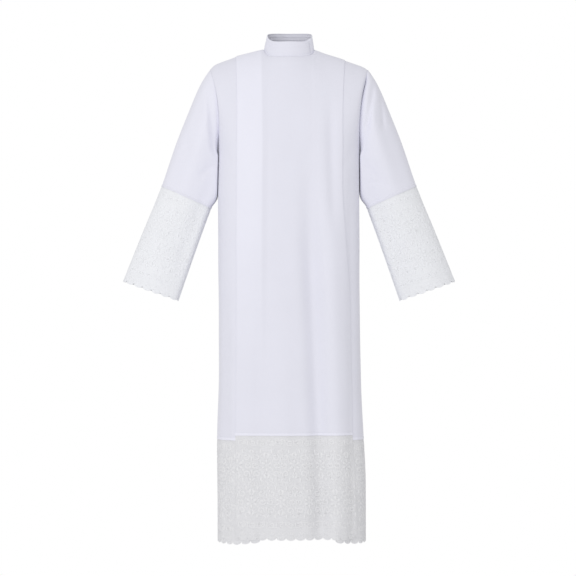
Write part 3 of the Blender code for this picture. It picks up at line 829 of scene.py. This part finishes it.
def spray():
    """The foliage beside a flower, in millimetres: curling stems with leaves, mirrored about it."""
    stems = [
        scroll(27, 24, 11.5, math.pi * 0.9, -1.15, 5.0),
        scroll(27, -24, 11.5, math.pi * 0.1, 1.15, 5.0),
        vine(3, 18, 17, 31, -0.25, 5.0),
        vine(3, -18, 17, -31, 0.25, 5.0),
        scroll(30, 0, 9.0, math.pi * 0.5, 1.1, 4.6),
    ]
    leaves = [
        # foot x, foot y, tip x, tip y, bow, width
        (6, 23, 0.5, 37, 0.15, 9.0),
        (15, 33, 14, 46, 0.15, 8.0),
        (6, -23, 0.5, -37, -0.15, 9.0),
        (15, -33, 14, -46, -0.15, 8.0),
        (33, 37, 41, 45, 0.15, 6.5),
        (33, -37, 41, -45, -0.15, 6.5),
        (15, 9, 19, 17, 0.1, 5.5),
        (15, -9, 19, -17, -0.1, 5.5),
    ]
    return mirrored(stems + [vine(*leaf[:5], 0.6, leaf[5]) for leaf in leaves])


def filler():
    """A small four-petalled flower with a leaf above and below, for the places between sprays, in
    millimetres."""
    strokes = [petal(0, 0, TURN * (k + 0.5) / 4, 1.6, 11.0, 7.5) for k in range(4)]
    return strokes + [petal(0, 0, math.pi * k, 12.0, 25.0, 7.0) for k in range(2)]


def curl(reach, pitch):
    """One turn of a running vine, in millimetres: a coil with a bud at its heart, and the stem that leads to
    the next coil."""
    return [
        scroll(0, 0, reach, -math.pi / 2, 1.05, 0.42 * reach),
        petal(0, 0, 0.6, -0.12 * reach, 0.50 * reach, 0.50 * reach),
        vine(0.10 * reach, -reach, pitch - 0.10 * reach, -reach, -0.10, 0.36 * reach),
        petal(pitch / 2, 0.1 * reach, 0, -0.8 * reach, 0.8 * reach, 0.55 * reach),
    ]


def scallop_arcs(pitch):
    """Cords that follow a scallop, one within another, and a fan of buds above them, in millimetres."""
    t = np.linspace(0.03, 0.97, THREAD_STATIONS)
    strokes = []
    for inset, width in ((1.2, 2.6), (5.4, 2.2), (9.2, 1.8)):
        share = 1 - inset / (0.8 * pitch)
        x = (2 * t - 1) * pitch / 2 * share
        hang = SCALLOP_DEPTH / MILLIMETRE * np.sqrt(np.clip(1 - (2 * t - 1) ** 2, 0, 1))
        strokes.append(np.stack([x, hang - inset, np.full(t.size, width / 2)], axis=-1))
    return strokes + [petal(0, -7.5, angle, 1.0, 10.0, 4.2) for angle in (-1.0, 0, 1.0)]


def repeat(strokes, along, down, flips=(1, 1)):
    """Copies of a motif given in millimetres, at distances in metres along a length of lace and down it.
    flips holds a copy's signs across and down, one row for all the copies or one to each: -1 mirrors it."""
    strokes = np.array(strokes) * MILLIMETRE
    copies = np.repeat(strokes[None], len(along), axis=0)
    copies[..., :2] *= np.broadcast_to(flips, (len(along), 2))[:, None, None]
    copies[..., 0] += along[:, None, None]
    copies[..., 1] += down
    return copies.reshape(-1, THREAD_STATIONS, 3)


def lace_pattern(length, scallops, scallops_a_flower):
    """All the strokes of a length of lace: two staggered rows of flowers in foliage with small flowers
    between them, running vines above, between and below, and the scalloped edge."""
    pitch = length / scallops
    flowers = max(1, round(scallops / scallops_a_flower))
    step = length / flowers
    middles = (np.arange(flowers) + 0.5) * step
    between = np.arange(flowers) * step
    edges = (np.arange(scallops) + 0.5) * pitch
    turned = np.stack([np.ones(scallops), np.where(np.arange(scallops) % 2, 1, -1)], axis=1)
    vine_pitch = pitch / MILLIMETRE
    rows = (
        # distance down, reach of a coil
        (0.019, 9.5),
        (0.1345, 7.0),
        (0.250, 9.5),
    )
    vines = [repeat(curl(reach, vine_pitch), edges, down, turned) for down, reach in rows]
    big = flower(17.0, 6) + spray()
    return np.concatenate([
        *vines,
        repeat(big, middles, 0.083),
        repeat(big, between, 0.186),
        repeat(filler(), between, 0.083),
        repeat(filler(), middles, 0.186),
        repeat(scallop_arcs(vine_pitch), edges, LACE_DEPTH),
    ])


def stitch_row(length, down, pitch=0.0032, stitch=0.0023, width=0.00055):
    """Strokes of a straight row of stitches along a seam."""
    starts = np.arange(int(length / pitch)) * pitch + (pitch - stitch) / 2
    t = np.linspace(0, 1, 4)
    along = starts[:, None] + stitch * t
    half_width = np.broadcast_to(width / 2 * np.sin(math.pi * (0.15 + 0.7 * t)), along.shape)
    return np.stack([along, np.full(along.shape, down), half_width], axis=-1)


class Value:
    """A number or a shader socket that Python's own operators work on, through Math nodes."""

    def __init__(self, finish, socket):
        self.finish, self.socket = finish, socket

    def _math(self, operation, *values):
        return self.finish.number("ShaderNodeMath", {"operation": operation}, dict(enumerate(values)))

    def __add__(self, other):
        return self._math("ADD", self, other)

    __radd__ = __add__

    def __mul__(self, other):
        return self._math("MULTIPLY", self, other)

    __rmul__ = __mul__

    def __sub__(self, other):
        return self._math("SUBTRACT", self, other)

    def __rsub__(self, other):
        return self._math("SUBTRACT", other, self)

    def cosine(self):
        return self._math("COSINE", self)

    def above(self, low, high):
        """0 up to low, 1 from high on, and a smooth ramp between."""
        sockets = {"Value": self, "From Min": low, "From Max": high}
        return self.finish.number("ShaderNodeMapRange", {"interpolation_type": "SMOOTHSTEP"}, sockets)


class Finish:
    """A material around one Principled shader, whose sockets are set by name."""

    def __init__(self, name, **constants):
        self.material = bpy.data.materials.new(name)
        self.material.use_nodes = True
        self.tree = self.material.node_tree
        self.shader = self.tree.nodes["Principled BSDF"]
        for socket, value in constants.items():
            self.shader.inputs[socket.replace("_", " ")].default_value = value

    def node(self, kind, settings, sockets):
        """A node of that type, with its settings set first and then the values or links of its sockets."""
        node = self.tree.nodes.new(kind)
        for setting, value in settings.items():
            setattr(node, setting, value)
        for socket, value in sockets.items():
            if isinstance(value, Value):
                value = value.socket
            if isinstance(value, bpy.types.NodeSocket):
                self.tree.links.new(value, node.inputs[socket])
            else:
                node.inputs[socket].default_value = value
        return node

    def number(self, kind, settings, sockets, output=0):
        return Value(self, self.node(kind, settings, sockets).outputs[output])

    def use(self, socket, value):
        self.tree.links.new(value.socket if isinstance(value, Value) else value, self.shader.inputs[socket])

    def along_and_across(self):
        """The piece's own UV place in metres, as two values and as a vector."""
        place = self.node("ShaderNodeUVMap", {"uv_map": UV_NAME}, {}).outputs["UV"]
        parts = self.node("ShaderNodeSeparateXYZ", {}, {"Vector": place})
        return Value(self, parts.outputs["X"]), Value(self, parts.outputs["Y"]), place

    def noise(self, vector, scale, detail=2.0):
        sockets = {"Vector": vector, "Scale": scale, "Detail": detail}
        return self.number("ShaderNodeTexNoise", {}, sockets)

    def mix(self, factor, first, second):
        """A colour between two colours, by a factor that changes over the surface."""
        node = self.node("ShaderNodeMix", {"data_type": "RGBA"}, {0: factor, 6: (*first, 1), 7: (*second, 1)})
        return node.outputs[2]

    def bump(self, height, distance, strength=1.0):
        sockets = {"Height": height, "Distance": distance, "Strength": strength}
        self.use("Normal", self.node("ShaderNodeBump", {}, sockets).outputs["Normal"])


def shaded(colour, share):
    """A colour times a share of its brightness."""
    return tuple(part * share for part in colour)


def cloth_finish(name, settings):
    """Fine plain weave: over-and-under threads as bump, slubs that lighten and darken it by a little."""
    finish = Finish(name, Roughness=0.78, Metallic=0.0, Specular_IOR_Level=0.25, **SHEEN)
    along, across, place = finish.along_and_across()
    turns = TURN / settings.thread
    weave = (along * turns).cosine() * (across * turns).cosine()
    slub = finish.noise(place, SLUB_SCALE)
    cloud = finish.noise(place, CLOUD_SCALE)
    finish.bump(weave * 0.5 + slub, WEAVE_RELIEF)
    tone = cloud * 0.6 + slub * 0.4
    # whiter where more cloth lies behind; on the pleats also painted shade, less white on the side away from
    # the key light
    whiteness_and_shade = finish.number("ShaderNodeAttribute", {"attribute_name": FULLNESS_AND_SHADE}, {}, "Fac")
    white = whiteness_and_shade * 0.8 + tone.above(0.3, 0.7) * 0.2
    colour = tuple(settings.colour)
    finish.use("Base Color", finish.mix(white, shaded(colour, SINGLE_CLOTH_SHARE), colour))
    finish.use("Roughness", tone * 0.10 + 0.73)
    return finish.material


def net_finish(name, colour, openness, settings):
    """Round-holed net: three waves at a third of a turn to one another, whose peaks are the holes."""
    finish = Finish(name, Roughness=0.85, Metallic=0.0, Specular_IOR_Level=0.2)
    along, across, place = finish.along_and_across()
    turns = TURN / settings.cell
    slanted = (along * (-0.5 * turns), across * (math.sqrt(0.75) * turns))
    peaks = (along * turns).cosine() + (slanted[0] + slanted[1]).cosine() + (slanted[0] - slanted[1]).cosine()
    hole = peaks.above(0.8, 1.6)
    finish.use("Alpha", 1 - hole * openness)
    finish.bump(1 - hole, THREAD_RELIEF)
    cloud = finish.noise(place, LACE_CLOUD_SCALE)
    finish.use("Base Color", finish.mix(cloud.above(0.3, 0.7), shaded(colour, 0.97), tuple(colour)))
    return finish.material


def thread_finish(name, colour, pitch):
    """Satin stitch: fine ridges across each stroke, a stitch apart, with painted shade in the grooves between
    them.
    """
    finish = Finish(name, Roughness=0.6, Metallic=0.0, Sheen_Weight=0.15, Specular_IOR_Level=0.3)
    along, across, place = finish.along_and_across()
    ridges = (along * (TURN / pitch) + across * 500.0).cosine()
    finish.bump(ridges * 0.5 + finish.noise(place, 400.0), THREAD_RELIEF)
    # painted shade: the grooves between the ridges are coloured darker
    finish.use("Base Color", finish.mix(ridges.above(-1.0, 0.4), shaded(colour, 0.94), tuple(colour)))
    return finish.material


def finishes():
    """The materials of the alb, made once and found again by name."""
    scene = bpy.context.scene
    makers = {
        "Alb cloth": lambda name: cloth_finish(name, scene.alb_cloth),
        "Hem net": lambda name: net_finish(name, scene.alb_lace.colour, 0.35, scene.alb_lace),
        "Hem thread": lambda name: thread_finish(name, scene.alb_lace.thread_colour, SATIN_PITCH),
        "Sleeve net": lambda name: net_finish(name, scene.alb_lace.sleeve_colour, 0.25, scene.alb_lace),
        "Sleeve thread": lambda name: thread_finish(name, scene.alb_lace.sleeve_colour, SATIN_PITCH),
        "Seam stitch": lambda name: thread_finish(name, scene.alb_cloth.colour, STITCH_PITCH),
    }
    return {name: bpy.data.materials.get(name) or make(name) for name, make in makers.items()}


def adopt(piece, slot, *nodes):
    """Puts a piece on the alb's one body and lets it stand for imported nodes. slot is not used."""
    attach(piece, BODY)
    if nodes:
        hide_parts(*nodes)
    return piece


def stitch_piece(name, sheet, rows, sink):
    """Rows of stitches on a sheet's surface, as a piece that stands for nothing of its own."""
    stitches = thread_piece(name, sheet, rows, STITCH_RELIEF, finishes()["Seam stitch"], sink)
    return adopt(stitches, "white_cloth")


def turned_share(above):
    """1 on a turned edge, where the cloth is double, and 0 above it."""
    return eased((TURNED_EDGE - above) / 0.001)


def fullness_and_painted_shade(piece, whiteness_and_shade):
    """Keeps how much whiter each point looks; on the pleats it holds painted shade as well as their layers.
    """
    layer = piece.data.attributes.new(FULLNESS_AND_SHADE, "FLOAT", "POINT")
    layer.data.foreach_set("value", np.ascontiguousarray(whiteness_and_shade, dtype=np.float32).ravel())


def turned_edge(above):
    """Relief of a turned edge at a distance above the seam: proud of the cloth, dinted at the stitches."""
    dint = STITCH_DINT * hump(above - TURNED_EDGE - 0.0008, 0.0012)
    return TURNED_RISE * eased((TURNED_EDGE - above) / 0.0012) - dint


def visible_part(strokes, along, dropped):
    """The strokes that no pleat hides: those whose every station lies on cloth with nothing over it, which is
    before a pleat's drop starts or after it ends."""
    hidden = np.interp(strokes[..., 0], along, (dropped > 0) & (dropped < 1)) > 0
    return strokes[~hidden.any(axis=1)]


def make_panel(word, side):
    """Front or back of the body, from the neck and shoulders to the turned edge above the lace."""
    settings = bpy.context.scene.alb_cloth
    share, layers, dropped = whole_columns()
    share = share * (1 - SEAM_GAP)
    foot = ARMHOLE_BOTTOM[1] - LACE_SEAM_HEIGHT + drop_below(share, dropped) - SEAM_GAP
    upper = np.broadcast_to(np.linspace(0, 1, CHEST_ROWS)[:, None], (CHEST_ROWS, share.size))
    down = stretches((0, 0.975, 84), (0.975, 1, 14))[1:, None] * foot
    level = np.concatenate([upper, down + 1])
    points = panel(side, share, layers, level, settings.unevenness)
    normals = unit(np.cross(np.gradient(points, axis=1), np.gradient(points, axis=0)) * side)
    above = np.where(level > 1, foot + 1 - level, 1.0)
    points = points + normals * turned_edge(above)[..., None]
    points[..., 1] += side * (settings.wall / 2 * np.exp(-level * SHOULDER_LAP_FADE) + SEAM_GAP / 2)
    along = path_lengths(points[len(points) // 2])
    lengths = path_lengths(points[:, points.shape[1] // 2])
    uv = np.stack(np.meshgrid(along, lengths), axis=-1)
    cloth = sheet_piece(f"cloth_{word}", points, uv, settings.wall, finishes()["Alb cloth"], flip=side > 0)
    layered_and_painted_shade = eased(2 * layers - 3) * (1 - eased((level - 1) / LINED_LENGTH))
    # painted shade: the pleats' whiteness is cut on the left, the side that faces away from the key light
    layered_and_painted_shade = layered_and_painted_shade * np.where(share > 0, LEFT_PAINTED_SHADE_SHARE, 1)
    fullness_and_painted_shade(cloth, np.maximum(layered_and_painted_shade, turned_share(above)))
    adopt(cloth, "white_cloth", f"{word}_panel")
    edge = slice(-EDGE_ROWS, None)
    middle = points.shape[1] // 2
    hem = Sheet(points[edge], path_lengths(points[-STITCHED_ROW]), -above[edge, middle], False, side)
    shown = visible_part(stitch_row(hem.along[-1], -TURNED_EDGE - STITCH_OFFSET), hem.along, dropped)
    stitches = stitch_piece(f"lace_seam_stitches_{word}", hem, shown, -settings.wall / 2)
    width = hem.along[-1]
    round(width * 1.13 * 0.93, 3)


def make_hem_lace(word, side):
    """One length of hem lace, pleated with its panel, with a whole number of scallops along its edge."""
    rough = bpy.context.scene.alb_cloth.unevenness
    columns = whole_columns()
    along = path_lengths(panel(side, columns[0], columns[1], 1 + ARMHOLE_BOTTOM[1] - HEM_HEIGHT, rough))
    scallops = round(along[-1] / SCALLOP_PITCH)
    even = np.linspace(0, along[-1], scallops * POINTS_A_SCALLOP + 1)
    places = np.unique(np.concatenate([even, along]))
    places = places[np.concatenate([[True], np.diff(places) > 0.0002])]
    share, layers, dropped = (np.interp(places, along, row) for row in columns)
    share = share * (1 - SEAM_GAP)
    down = lace_rows()
    level = 1 + ARMHOLE_BOTTOM[1] - LACE_SEAM_HEIGHT + drop_below(share, dropped) + down[:, None]
    points = panel(side, share, layers, level, rough)
    points[..., 1] += side * SEAM_GAP / 2
    sheet = sunk_under_seam(Sheet(points, places, down, False, side))
    make_lace(f"hem_lace_{word}", sheet, scallops, dropped, side > 0)


def lace_rows():
    """Distances of a lace's rows below the seam: from its tucked upper edge, closer near the seam, to the
    tips."""
    return stretches((-LACE_TUCK, NEAR_SEAM, 16), (NEAR_SEAM, LACE_DEPTH + BEYOND_TIPS * SCALLOP_DEPTH, 40))


def sunk_under_seam(sheet):
    """The lace lies under the cloth's turned edge, and dips a little just below it."""
    down = sheet.down[:, None, None]
    groove = LACE_GROOVE * hump(down - GROOVE_PLACE, GROOVE_WIDTH)
    sheet.points = sheet.points - sheet.normals * (LACE_SINK * eased((SINK_END - down) / SINK_RAMP) + groove)
    return sheet


def make_lace(name, sheet, scallops, dropped, flip):
    """A length of lace on a sheet's surface: the net down to its scalloped edge, and the embroidery on it."""
    settings = bpy.context.scene.alb_lace
    places = sheet.along[:-1] if sheet.ring else sheet.along
    pitch = sheet.along[-1] / scallops
    share = stretches((-LACE_TUCK / LACE_DEPTH, 0.04, 12), (0.04, EDGE_START, 30), (EDGE_START, 1, 7))
    share = share[:, None]
    down = share * LACE_DEPTH + scallop(places, pitch) * eased((share - EDGE_START) / 0.1)
    points = sheet.at(np.broadcast_to(places, down.shape), down, np.zeros(down.shape))
    uv_down = np.concatenate([down, down[:, :1]], axis=1) if sheet.ring else down
    uv = np.stack([np.broadcast_to(sheet.along, uv_down.shape), uv_down], axis=-1)
    finish, part = finishes(), "Sleeve" if sheet.ring else "Hem"
    net = sheet_piece(f"{name}_net", points, uv, settings.wall, finish[f"{part} net"], sheet.ring, flip)
    adopt(net, "white_lace", name)
    strokes = lace_pattern(sheet.along[-1], scallops, settings.flowers)
    if not sheet.ring:
        strokes = visible_part(strokes, sheet.along, dropped)
        first, last = strokes[..., 0].min(axis=1), strokes[..., 0].max(axis=1)
        strokes = strokes[(first > MILLIMETRE) & (last < sheet.along[-1] - MILLIMETRE)]
    embroidery = thread_piece(f"{name}_embroidery", sheet, strokes, settings.relief, finish[f"{part} thread"],
                              THREAD_SINK - settings.wall / 2)
    adopt(embroidery, "white_lace")


def make_sleeve(word, hand):
    """Cloth part of a sleeve, from the armhole seam to the turned edge above the lace."""
    settings = bpy.context.scene.alb_cloth
    angle = np.linspace(0, TURN, SLEEVE_COLUMNS, endpoint=False)
    place = stretches((0, 0.08, 14), (0.08, 0.96, 64), (0.96, 1, 12))[:, None]
    points = sleeve(hand, *np.broadcast_arrays(angle, place), settings.unevenness)
    along = np.append(path_lengths(points[-1]), 0)
    along[-1] = along[-2] + np.linalg.norm(points[-1, 0] - points[-1, -1])
    sheet = Sheet(points, along, path_lengths(points[:, 0]), True, hand)
    spread = np.linalg.norm(points[-1] - points[-SPREAD_ROW], axis=1) / (1 - place[-SPREAD_ROW, 0])
    above = (1 - place) * spread
    points = points + sheet.normals[:, :-1] * turned_edge(above)[..., None]
    uv = np.stack(np.meshgrid(along, path_lengths(points[:, angle.size // 4])), axis=-1)
    finish = finishes()["Alb cloth"]
    cloth = sheet_piece(f"cloth_sleeve_{word}", points, uv, settings.wall, finish, True, hand > 0)
    fullness_and_painted_shade(cloth, np.broadcast_to(SLEEVE_FULLNESS * (1 - turned_share(above)), points.shape[:2]))
    adopt(cloth, "white_cloth", f"sleeve_{word}")
    edge = Sheet(points[-SLEEVE_EDGE_ROWS:], along, -above[-SLEEVE_EDGE_ROWS:, 0], True, hand)
    rows = stitch_row(along[-1], -TURNED_EDGE - STITCH_OFFSET)
    stitches = stitch_piece(f"lace_seam_stitches_sleeve_{word}", edge, rows, -settings.wall / 2)


def make_sleeve_lace(word, hand):
    """Lace part of a sleeve: a tube from the lace seam to its scalloped edge."""
    rough = bpy.context.scene.alb_cloth.unevenness
    coarse = np.linspace(0, TURN, CUFF_POINTS)
    around = path_lengths(sleeve(hand, coarse, np.full(coarse.size, 2.0), rough))
    scallops = round(around[-1] / SCALLOP_PITCH)
    places = np.linspace(0, around[-1], scallops * POINTS_A_SCALLOP + 1)
    angle = np.interp(places[:-1], around, coarse)
    down = lace_rows()
    place = 1 + (down[:, None] + 2 * SEAM_GAP) / LACE_DEPTH
    points = sleeve(hand, *np.broadcast_arrays(angle, place), rough)
    sheet = sunk_under_seam(Sheet(points, places, down, True, hand))
    make_lace(f"sleeve_lace_{word}", sheet, scallops, None, hand > 0)


def make_collar():
    """Standing band: from its lapped front end at the left shoulder, round the front, the right shoulder and
    the back, and on beneath itself, with a row of stitches near each edge and across its end."""
    settings = bpy.context.scene.alb_cloth
    turned = stretches((0, 0.03, 4), (0.03, TURN + LAP_LENGTH_ANGLE, 190))
    angle = turned + LAP_END_ANGLE
    forward, across = np.sin(angle), np.cos(angle)
    up = np.append(-COLLAR_FOOT / COLLAR_HEIGHT, stretches((0, 0.94, 60), (0.94, 1, 4)))
    height = up[::-1, None]
    tucked = LAP_REST * eased((turned - TURN + LAP_SINK_ANGLE) / LAP_SINK_ANGLE)
    tucked = tucked + (LAP_STEP - LAP_REST) * hump(turned - TURN, LAP_SINK_ANGLE / 2)
    tucked = tucked * (LAP_FOOT_SHARE + (1 - LAP_FOOT_SHARE) * eased(LAP_RISE * height))
    below_top = (1 - height) * COLLAR_HEIGHT
    rounded = sum(depth * hump(below_top - line, half_width) for line, depth, half_width in COLLAR_DINTS)
    narrowed = 1 + (COLLAR_TOP_SHARE - 1) * height
    swell = settings.unevenness * 0.7 * unevenness(angle * 0.05, height * 0.04, 1.0)
    x = across * (NECK_HALF_WIDTH * narrowed - tucked - rounded + swell) + COLLAR_LEAN * height
    y = -forward * (NECK_HALF_DEPTH * narrowed - tucked - rounded + swell)
    z = neck_height(forward) + COLLAR_HEIGHT * height
    points = together(x, y, z)
    along = path_lengths(points[len(points) // 2])
    down = (1 - height[:, 0]) * COLLAR_HEIGHT
    uv = np.stack(np.meshgrid(along, down), axis=-1)
    band = sheet_piece("collar", points, uv, settings.collar_wall, finishes()["Alb cloth"], flip=True)
    fullness_and_painted_shade(band, np.full(points.shape[:2], COLLAR_FULLNESS))
    adopt(band, "white_cloth", "collar_band")
    sheet = Sheet(points, along, down, False, -1)
    rows = [stitch_row(along[-1] - 0.004, line) for line in COLLAR_LINES]
    across_end = stitch_row(COLLAR_HEIGHT - 0.007, 0.0035)[..., [1, 0, 2]] + (0, 0.0030, 0)
    rows = np.concatenate([*rows, across_end])
    stitches = stitch_piece("collar_stitches", sheet, rows, THREAD_SINK - settings.collar_wall / 2)


def make_stage():
    """A plain pale round floor below the hem, a white room, one large soft light, and the camera."""
    settings = bpy.context.scene.alb_stage
    turn = np.linspace(0, TURN, FLOOR_COLUMNS, endpoint=False)
    reach = np.linspace(FLOOR_MIDDLE, 1, FLOOR_ROWS)[:, None] * settings.floor_radius
    height = CAD_BOX[0].z - FLOOR_DROP
    rings = together(reach * np.cos(turn), reach * np.sin(turn), height)
    uv = np.concatenate([rings, rings[:, :1]], axis=1)[..., :2]
    floor_finish = Finish("Pale floor", Roughness=0.9, Metallic=0.0, Specular_IOR_Level=0.1)
    floor_finish.shader.inputs["Base Color"].default_value = (FLOOR_GREY, FLOOR_GREY, FLOOR_GREY, 1)
    sheet_piece("floor", rings, uv, FLOOR_WALL, floor_finish.material, ring=True)

    world = bpy.data.worlds.new("White room")
    world.use_nodes = True
    tree = world.node_tree
    seen = tree.nodes["Background"]
    seen.inputs["Color"].default_value = (1, 1, 1, 1)
    seen.inputs["Strength"].default_value = 1.0
    lighting = tree.nodes.new("ShaderNodeBackground")
    lighting.inputs["Strength"].default_value = settings.room_light
    mix = tree.nodes.new("ShaderNodeMixShader")
    tree.links.new(tree.nodes.new("ShaderNodeLightPath").outputs["Is Camera Ray"], mix.inputs["Fac"])
    tree.links.new(lighting.outputs["Background"], mix.inputs[1])
    tree.links.new(seen.outputs["Background"], mix.inputs[2])
    tree.links.new(mix.outputs["Shader"], tree.nodes["World Output"].inputs["Surface"])
    bpy.context.scene.world = world

    lamp = bpy.data.lights.new("Key light", "AREA")
    lamp.energy = settings.key_power
    lamp.size = KEY_SIZE
    holder = placed("Key light", lamp)
    holder.location = KEY_PLACE
    holder.rotation_euler = look_at(KEY_PLACE, (0, 0, settings.camera_height))

    lens = bpy.data.cameras.new("Camera")
    lens.sensor_width = 36.0
    lens.lens = lens.sensor_width * settings.distance / settings.view_width
    camera = placed("Camera", lens)
    camera.location = (settings.camera_side, -settings.distance, settings.camera_height)
    camera.rotation_euler = (math.pi / 2, 0, 0)
    bpy.context.scene.camera = camera
    bpy.context.scene.view_settings.view_transform = "Standard"


def look_at(place, aim):
    """Euler turns that point a light's -Z from its place to the aim."""
    x, y, z = np.subtract(aim, place)
    return (math.acos(-z / math.sqrt(x * x + y * y + z * z)), 0, math.atan2(-x, y))


SIDES = (("front", -1), ("back", 1))
HANDS = (("left", 1), ("right", -1))


class ALB_OT_body(bpy.types.Operator):
    """Make the front and the back of the body"""

    bl_idname = "alb.body"
    bl_label = "Body"

    def execute(self, context):
        for word, side in SIDES:
            make_panel(word, side)
        return {"FINISHED"}


class ALB_OT_hem_lace(bpy.types.Operator):
    """Make the lace at the hem"""

    bl_idname = "alb.hem_lace"
    bl_label = "Hem lace"

    def execute(self, context):
        for word, side in SIDES:
            make_hem_lace(word, side)
        return {"FINISHED"}


class ALB_OT_sleeves(bpy.types.Operator):
    """Make the cloth part of both sleeves"""

    bl_idname = "alb.sleeves"
    bl_label = "Sleeves"

    def execute(self, context):
        for word, hand in HANDS:
            make_sleeve(word, hand)
        return {"FINISHED"}


class ALB_OT_sleeve_lace(bpy.types.Operator):
    """Make the lace part of both sleeves"""

    bl_idname = "alb.sleeve_lace"
    bl_label = "Sleeve lace"

    def execute(self, context):
        for word, hand in HANDS:
            make_sleeve_lace(word, hand)
        return {"FINISHED"}


class ALB_OT_collar(bpy.types.Operator):
    """Make the standing band collar"""

    bl_idname = "alb.collar"
    bl_label = "Collar"

    def execute(self, context):
        make_collar()
        return {"FINISHED"}


class ALB_OT_stage(bpy.types.Operator):
    """Make the floor, the light and the camera"""

    bl_idname = "alb.stage"
    bl_label = "Stage"

    def execute(self, context):
        make_stage()
        return {"FINISHED"}


OPERATORS = (ALB_OT_collar, ALB_OT_body, ALB_OT_sleeves, ALB_OT_hem_lace, ALB_OT_sleeve_lace, ALB_OT_stage)


class ALB_PT_pieces(bpy.types.Panel):
    """The alb's pieces and the sizes and colours that they are made with"""

    bl_idname = "ALB_PT_pieces"
    bl_label = "Alb"
    bl_space_type = "VIEW_3D"
    bl_region_type = "UI"
    bl_category = "Alb"

    def draw(self, context):
        for settings in (context.scene.alb_cloth, context.scene.alb_lace, context.scene.alb_stage):
            box = self.layout.box()
            for name in settings.__annotations__:
                box.prop(settings, name)
        for operator in OPERATORS:
            self.layout.operator(operator.bl_idname)


GROUPS = {"alb_cloth": AlbCloth, "alb_lace": AlbLace, "alb_stage": AlbStage}


def register():
    for kind in (*GROUPS.values(), *OPERATORS, ALB_PT_pieces):
        bpy.utils.register_class(kind)
    for name, group in GROUPS.items():
        setattr(bpy.types.Scene, name, PointerProperty(type=group))


def unregister():
    for name in GROUPS:
        delattr(bpy.types.Scene, name)
    for kind in (ALB_PT_pieces, *reversed(OPERATORS), *reversed(GROUPS.values())):
        bpy.utils.unregister_class(kind)


def main():
    register()
    for operator in OPERATORS:
        group, name = operator.bl_idname.split(".")
        getattr(getattr(bpy.ops, group), name)()


if __name__ == "__main__":
    main()
